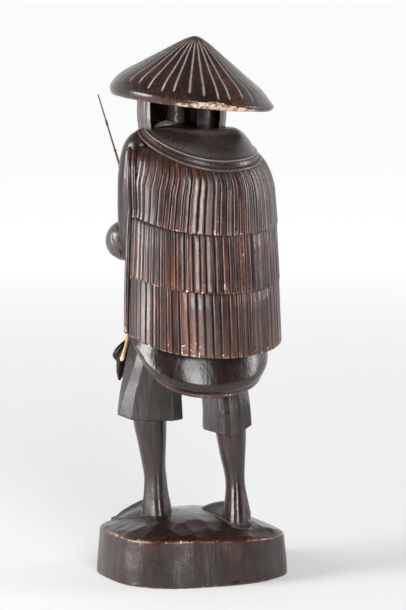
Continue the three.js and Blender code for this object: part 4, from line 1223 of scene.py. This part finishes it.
class Nodes:
    """The nodes of a material or of the surroundings, made and linked by name of socket."""

    def __init__(self, tree):
        self.tree = tree

    def node(self, kind, inputs=None, **settings):
        made = self.tree.nodes.new(kind)
        for key, value in settings.items():
            setattr(made, key, value)
        for key, value in (inputs or {}).items():
            self.feed(made.inputs[key], value)
        return made

    def feed(self, socket, value):
        if isinstance(value, bpy.types.NodeSocket):
            self.tree.links.new(value, socket)
        else:
            socket.default_value = value

    def attribute(self, name):
        return self.node("ShaderNodeAttribute", attribute_name=name).outputs["Fac"]

    def noise(self, scale, detail=4, stretch=(1, 1, 1), rough=0.55):
        """Noise on the piece's own coordinates in metres, scaled by stretch along each axis."""
        place = self.node("ShaderNodeTexCoord").outputs["Object"]
        mapped = self.node("ShaderNodeMapping", {"Vector": place, "Scale": stretch}).outputs["Vector"]
        return self.node("ShaderNodeTexNoise", {"Vector": mapped, "Scale": scale, "Detail": detail,
                                                "Roughness": rough}).outputs["Fac"]

    def span(self, value, low, high, to_low=0.0, to_high=1.0):
        """The value carried from one range to another and kept inside it."""
        return self.node("ShaderNodeMapRange", {"Value": value, "From Min": low, "From Max": high,
                                                "To Min": to_low, "To Max": to_high}).outputs["Result"]

    def maths(self, operation, a, b, clamp=True):
        return self.node("ShaderNodeMath", {0: a, 1: b}, operation=operation, use_clamp=clamp).outputs[0]

    def along(self, vector, direction):
        """How far a vector reaches in a direction."""
        inputs = {0: vector, 1: direction}
        return self.node("ShaderNodeVectorMath", inputs, operation="DOT_PRODUCT").outputs["Value"]

    def blend(self, share, a, b):
        """Colour a turning into colour b with the share. The mix node's colours are sockets 6 and 7."""
        made = self.node("ShaderNodeMix", data_type="RGBA")
        for socket, value in ((made.inputs[0], share), (made.inputs[6], a), (made.inputs[7], b)):
            self.feed(socket, value)
        return made.outputs[2]


def new_material(name):
    """A material, the maker of its nodes, and its shader's sockets."""
    material = bpy.data.materials.new(name)
    material.use_nodes = True
    return material, Nodes(material.node_tree), material.node_tree.nodes["Principled BSDF"].inputs


def polished_wood():
    """Dark stained and waxed hardwood: brown-black, redder where the red attribute is high, nearly black
    and matt where the deep attribute holds painted shade, orange to beige where worn and pale grey where
    the dust attribute holds dust and painted light, with fine upright grain, the ripples of the knife
    and an uneven wax sheen."""
    material, n, surface = new_material("polished_wood")
    grain = n.noise(60, 5, (9, 9, 0.7))
    mottle = n.noise(34, 5)
    fine = n.noise(480, 3)
    ripple = n.noise(150, 2)
    red_share = n.maths("MULTIPLY", n.attribute("red"), n.span(mottle, 0.36, 0.66, 0.4, 1.2))
    color = n.blend(n.span(grain, 0.35, 0.7), *STAINED)
    color = n.blend(red_share, color, n.blend(n.span(grain, 0.4, 0.66), *REDDENED))
    # Near-black painted shade where the deep attribute is high
    color = n.blend(n.maths("MULTIPLY", n.attribute("deep"), 0.9), color, DARK_AND_PAINTED_SHADE)
    rubbed = n.maths("MULTIPLY", n.attribute("wear"), n.span(n.noise(230, 5), 0.4, 0.6, 0.4, 1.3))
    color = n.blend(rubbed, color, n.blend(n.span(rubbed, 0.25, 0.95), *RUBBED))
    chips = n.maths("MULTIPLY", n.span(n.noise(430, 2), 0.63, 0.67), n.span(n.attribute("wear"), 0.08, 0.3))
    color = n.blend(chips, color, CHIPPED)
    # Pale grey where the dust attribute is high: dust, and in places painted light
    dusty = n.maths("MULTIPLY", n.attribute("dust"), n.span(fine, 0.3, 0.7, 0.65, 1.15))
    n.feed(surface["Base Color"], n.blend(dusty, color, PALE_DUST_AND_PAINTED_LIGHT))
    wax = n.span(n.noise(55, 4), 0.3, 0.7, *WAX_ROUGHNESS)
    dull = n.maths("ADD", n.maths("MULTIPLY", rubbed, 0.15), n.maths("MULTIPLY", dusty, 0.4))
    matt = n.maths("MULTIPLY", n.attribute("deep"), 0.5)
    n.feed(surface["Roughness"], n.maths("ADD", wax, n.maths("ADD", dull, matt)))
    height = n.maths("ADD", grain, n.maths("MULTIPLY", fine, 0.4), clamp=False)
    height = n.maths("ADD", height, n.maths("MULTIPLY", ripple, 0.9), clamp=False)
    lift = n.node("ShaderNodeBump", {"Height": height, "Strength": 0.4, "Distance": 0.00045})
    n.feed(surface["Normal"], lift.outputs["Normal"])
    surface["Specular IOR Level"].default_value = 0.55
    surface["Coat Weight"].default_value = 0.1
    surface["Coat Roughness"].default_value = 0.18
    return material


def cane():
    """Thin natural cane: cream at the butt and brown towards the tip, with fine lines along it and dark
    specks. The red attribute holds the share of the way from the butt."""
    material, n, surface = new_material("cane")
    way = n.attribute("red")
    streaks = n.noise(90, 4, (12, 12, 1))
    color = n.blend(n.span(way, 0.12, 0.6), CANE_LOW, CANE_HIGH)
    color = n.blend(n.span(way, 0.01, 0.07, 0.75, 0.0), color, CANE_END)
    n.feed(surface["Base Color"], n.blend(n.span(streaks, 0.45, 0.75, 0, 0.5), color, CANE_LINES))
    n.feed(surface["Roughness"], n.span(streaks, 0.3, 0.7, 0.38, 0.55))
    lift = n.node("ShaderNodeBump", {"Height": streaks, "Strength": 0.3, "Distance": 0.0001})
    n.feed(surface["Normal"], lift.outputs["Normal"])
    return material


def away_from_camera():
    """The level direction from the camera's place to the figure."""
    length = math.hypot(CAMERA_PLACE[0], CAMERA_PLACE[1])
    return (-CAMERA_PLACE[0] / length, -CAMERA_PLACE[1] / length, 0)


def floor():
    """A plain pale round floor, darker on the camera's side. It gives off a little light of its own:
    least on the camera's side, some round the figure, where shadows should show, and most behind it."""
    turns = np.linspace(0, 2 * math.pi, FLOOR_SIDES, endpoint=False)
    points = [(FLOOR_RADIUS * math.sin(a), FLOOR_RADIUS * math.cos(a), 0) for a in turns]
    mesh = bpy.data.meshes.new("floor")
    mesh.from_pydata(points, [], [list(range(FLOOR_SIDES))[::-1]])
    made = bpy.data.objects.new("floor", mesh)
    bpy.context.scene.collection.objects.link(made)
    material, n, surface = new_material("pale_floor")
    away = n.along(n.node("ShaderNodeTexCoord").outputs["Object"], away_from_camera())
    n.feed(surface["Base Color"], n.blend(n.span(away, -1.0, -0.25), *FLOOR_COLOR))
    front, middle, behind = FLOOR_GLOW
    glow = n.span(away, -1.3, -0.2, front, middle)
    glow = n.maths("ADD", glow, n.span(away, 0.1, 2.2, 0, behind - middle), clamp=False)
    n.feed(surface["Emission Strength"], glow)
    surface["Emission Color"].default_value = (1, 1, 1, 1)
    surface["Roughness"].default_value = 0.8
    mesh.materials.append(material)


def surroundings():
    """Light from all round: pale low behind the figure, dim overhead and dimmer low behind the camera."""
    world = bpy.data.worlds.new("studio")
    world.use_nodes = True
    n = Nodes(world.node_tree)
    way = n.node("ShaderNodeTexCoord").outputs["Generated"]
    height = n.node("ShaderNodeSeparateXYZ", {0: way}).outputs["Z"]
    away = n.along(way, away_from_camera())
    front, behind, overhead = WORLD_GLOW
    far = n.maths("MULTIPLY", n.span(away, -0.3, 0.4), n.span(height, 0.4, 0.8, behind - overhead, 0))
    near = n.maths("MULTIPLY", n.span(away, -0.3, 0.4, 1, 0), n.span(height, 0.0, 0.4, overhead - front, 0))
    backdrop = n.tree.nodes["Background"].inputs
    n.feed(backdrop["Strength"], n.maths("SUBTRACT", n.maths("ADD", far, overhead), near))
    backdrop["Color"].default_value = WORLD_COLOR
    bpy.context.scene.world = world
    bpy.context.scene.view_settings.view_transform = "Standard"


def soft_box(name, degrees, distance, height, aim_height, size, power):
    """An area light at a place round the figure, its angle counted from the camera's side towards the
    camera's right, that faces the figure's middle at the height aimed at."""
    data = bpy.data.lights.new(name, "AREA")
    data.shape = "RECTANGLE"
    data.size, data.size_y = size
    data.energy = power
    light = bpy.data.objects.new(name, data)
    turn = math.atan2(CAMERA_PLACE[0], CAMERA_PLACE[1]) - math.radians(degrees)
    place = Vector((distance * math.sin(turn), distance * math.cos(turn), height))
    light.location = place
    aim = Vector((0, 0, aim_height)) - place
    light.rotation_euler = aim.to_track_quat("-Z", "Y").to_euler()
    bpy.context.scene.collection.objects.link(light)


def camera():
    """The photograph's view: the figure from behind on its left side, from a little above its middle."""
    data = bpy.data.cameras.new("camera")
    data.sensor_width = SENSOR_WIDTH
    data.lens = CAMERA_LENS
    made = bpy.data.objects.new("camera", data)
    place = Vector(CAMERA_PLACE)
    turn = (Vector(CAMERA_TARGET) - place).to_track_quat("-Z", "Y")
    made.matrix_world = Matrix.Translation(place) @ turn.to_matrix().to_4x4()
    bpy.context.scene.collection.objects.link(made)
    bpy.context.scene.camera = made


def dress(piece, node, material):
    """A finished piece: its material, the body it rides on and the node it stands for."""
    piece.data.materials.clear()
    piece.data.materials.append(material)
    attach(piece, "root")
    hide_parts(node)


camera()
surroundings()
for box, settings in SOFT_BOXES.items():
    soft_box(box, *settings)
floor()
dress(carved_figure(), "carved_figure", polished_wood())
dress(fishing_rod(), "fishing_rod", cane())
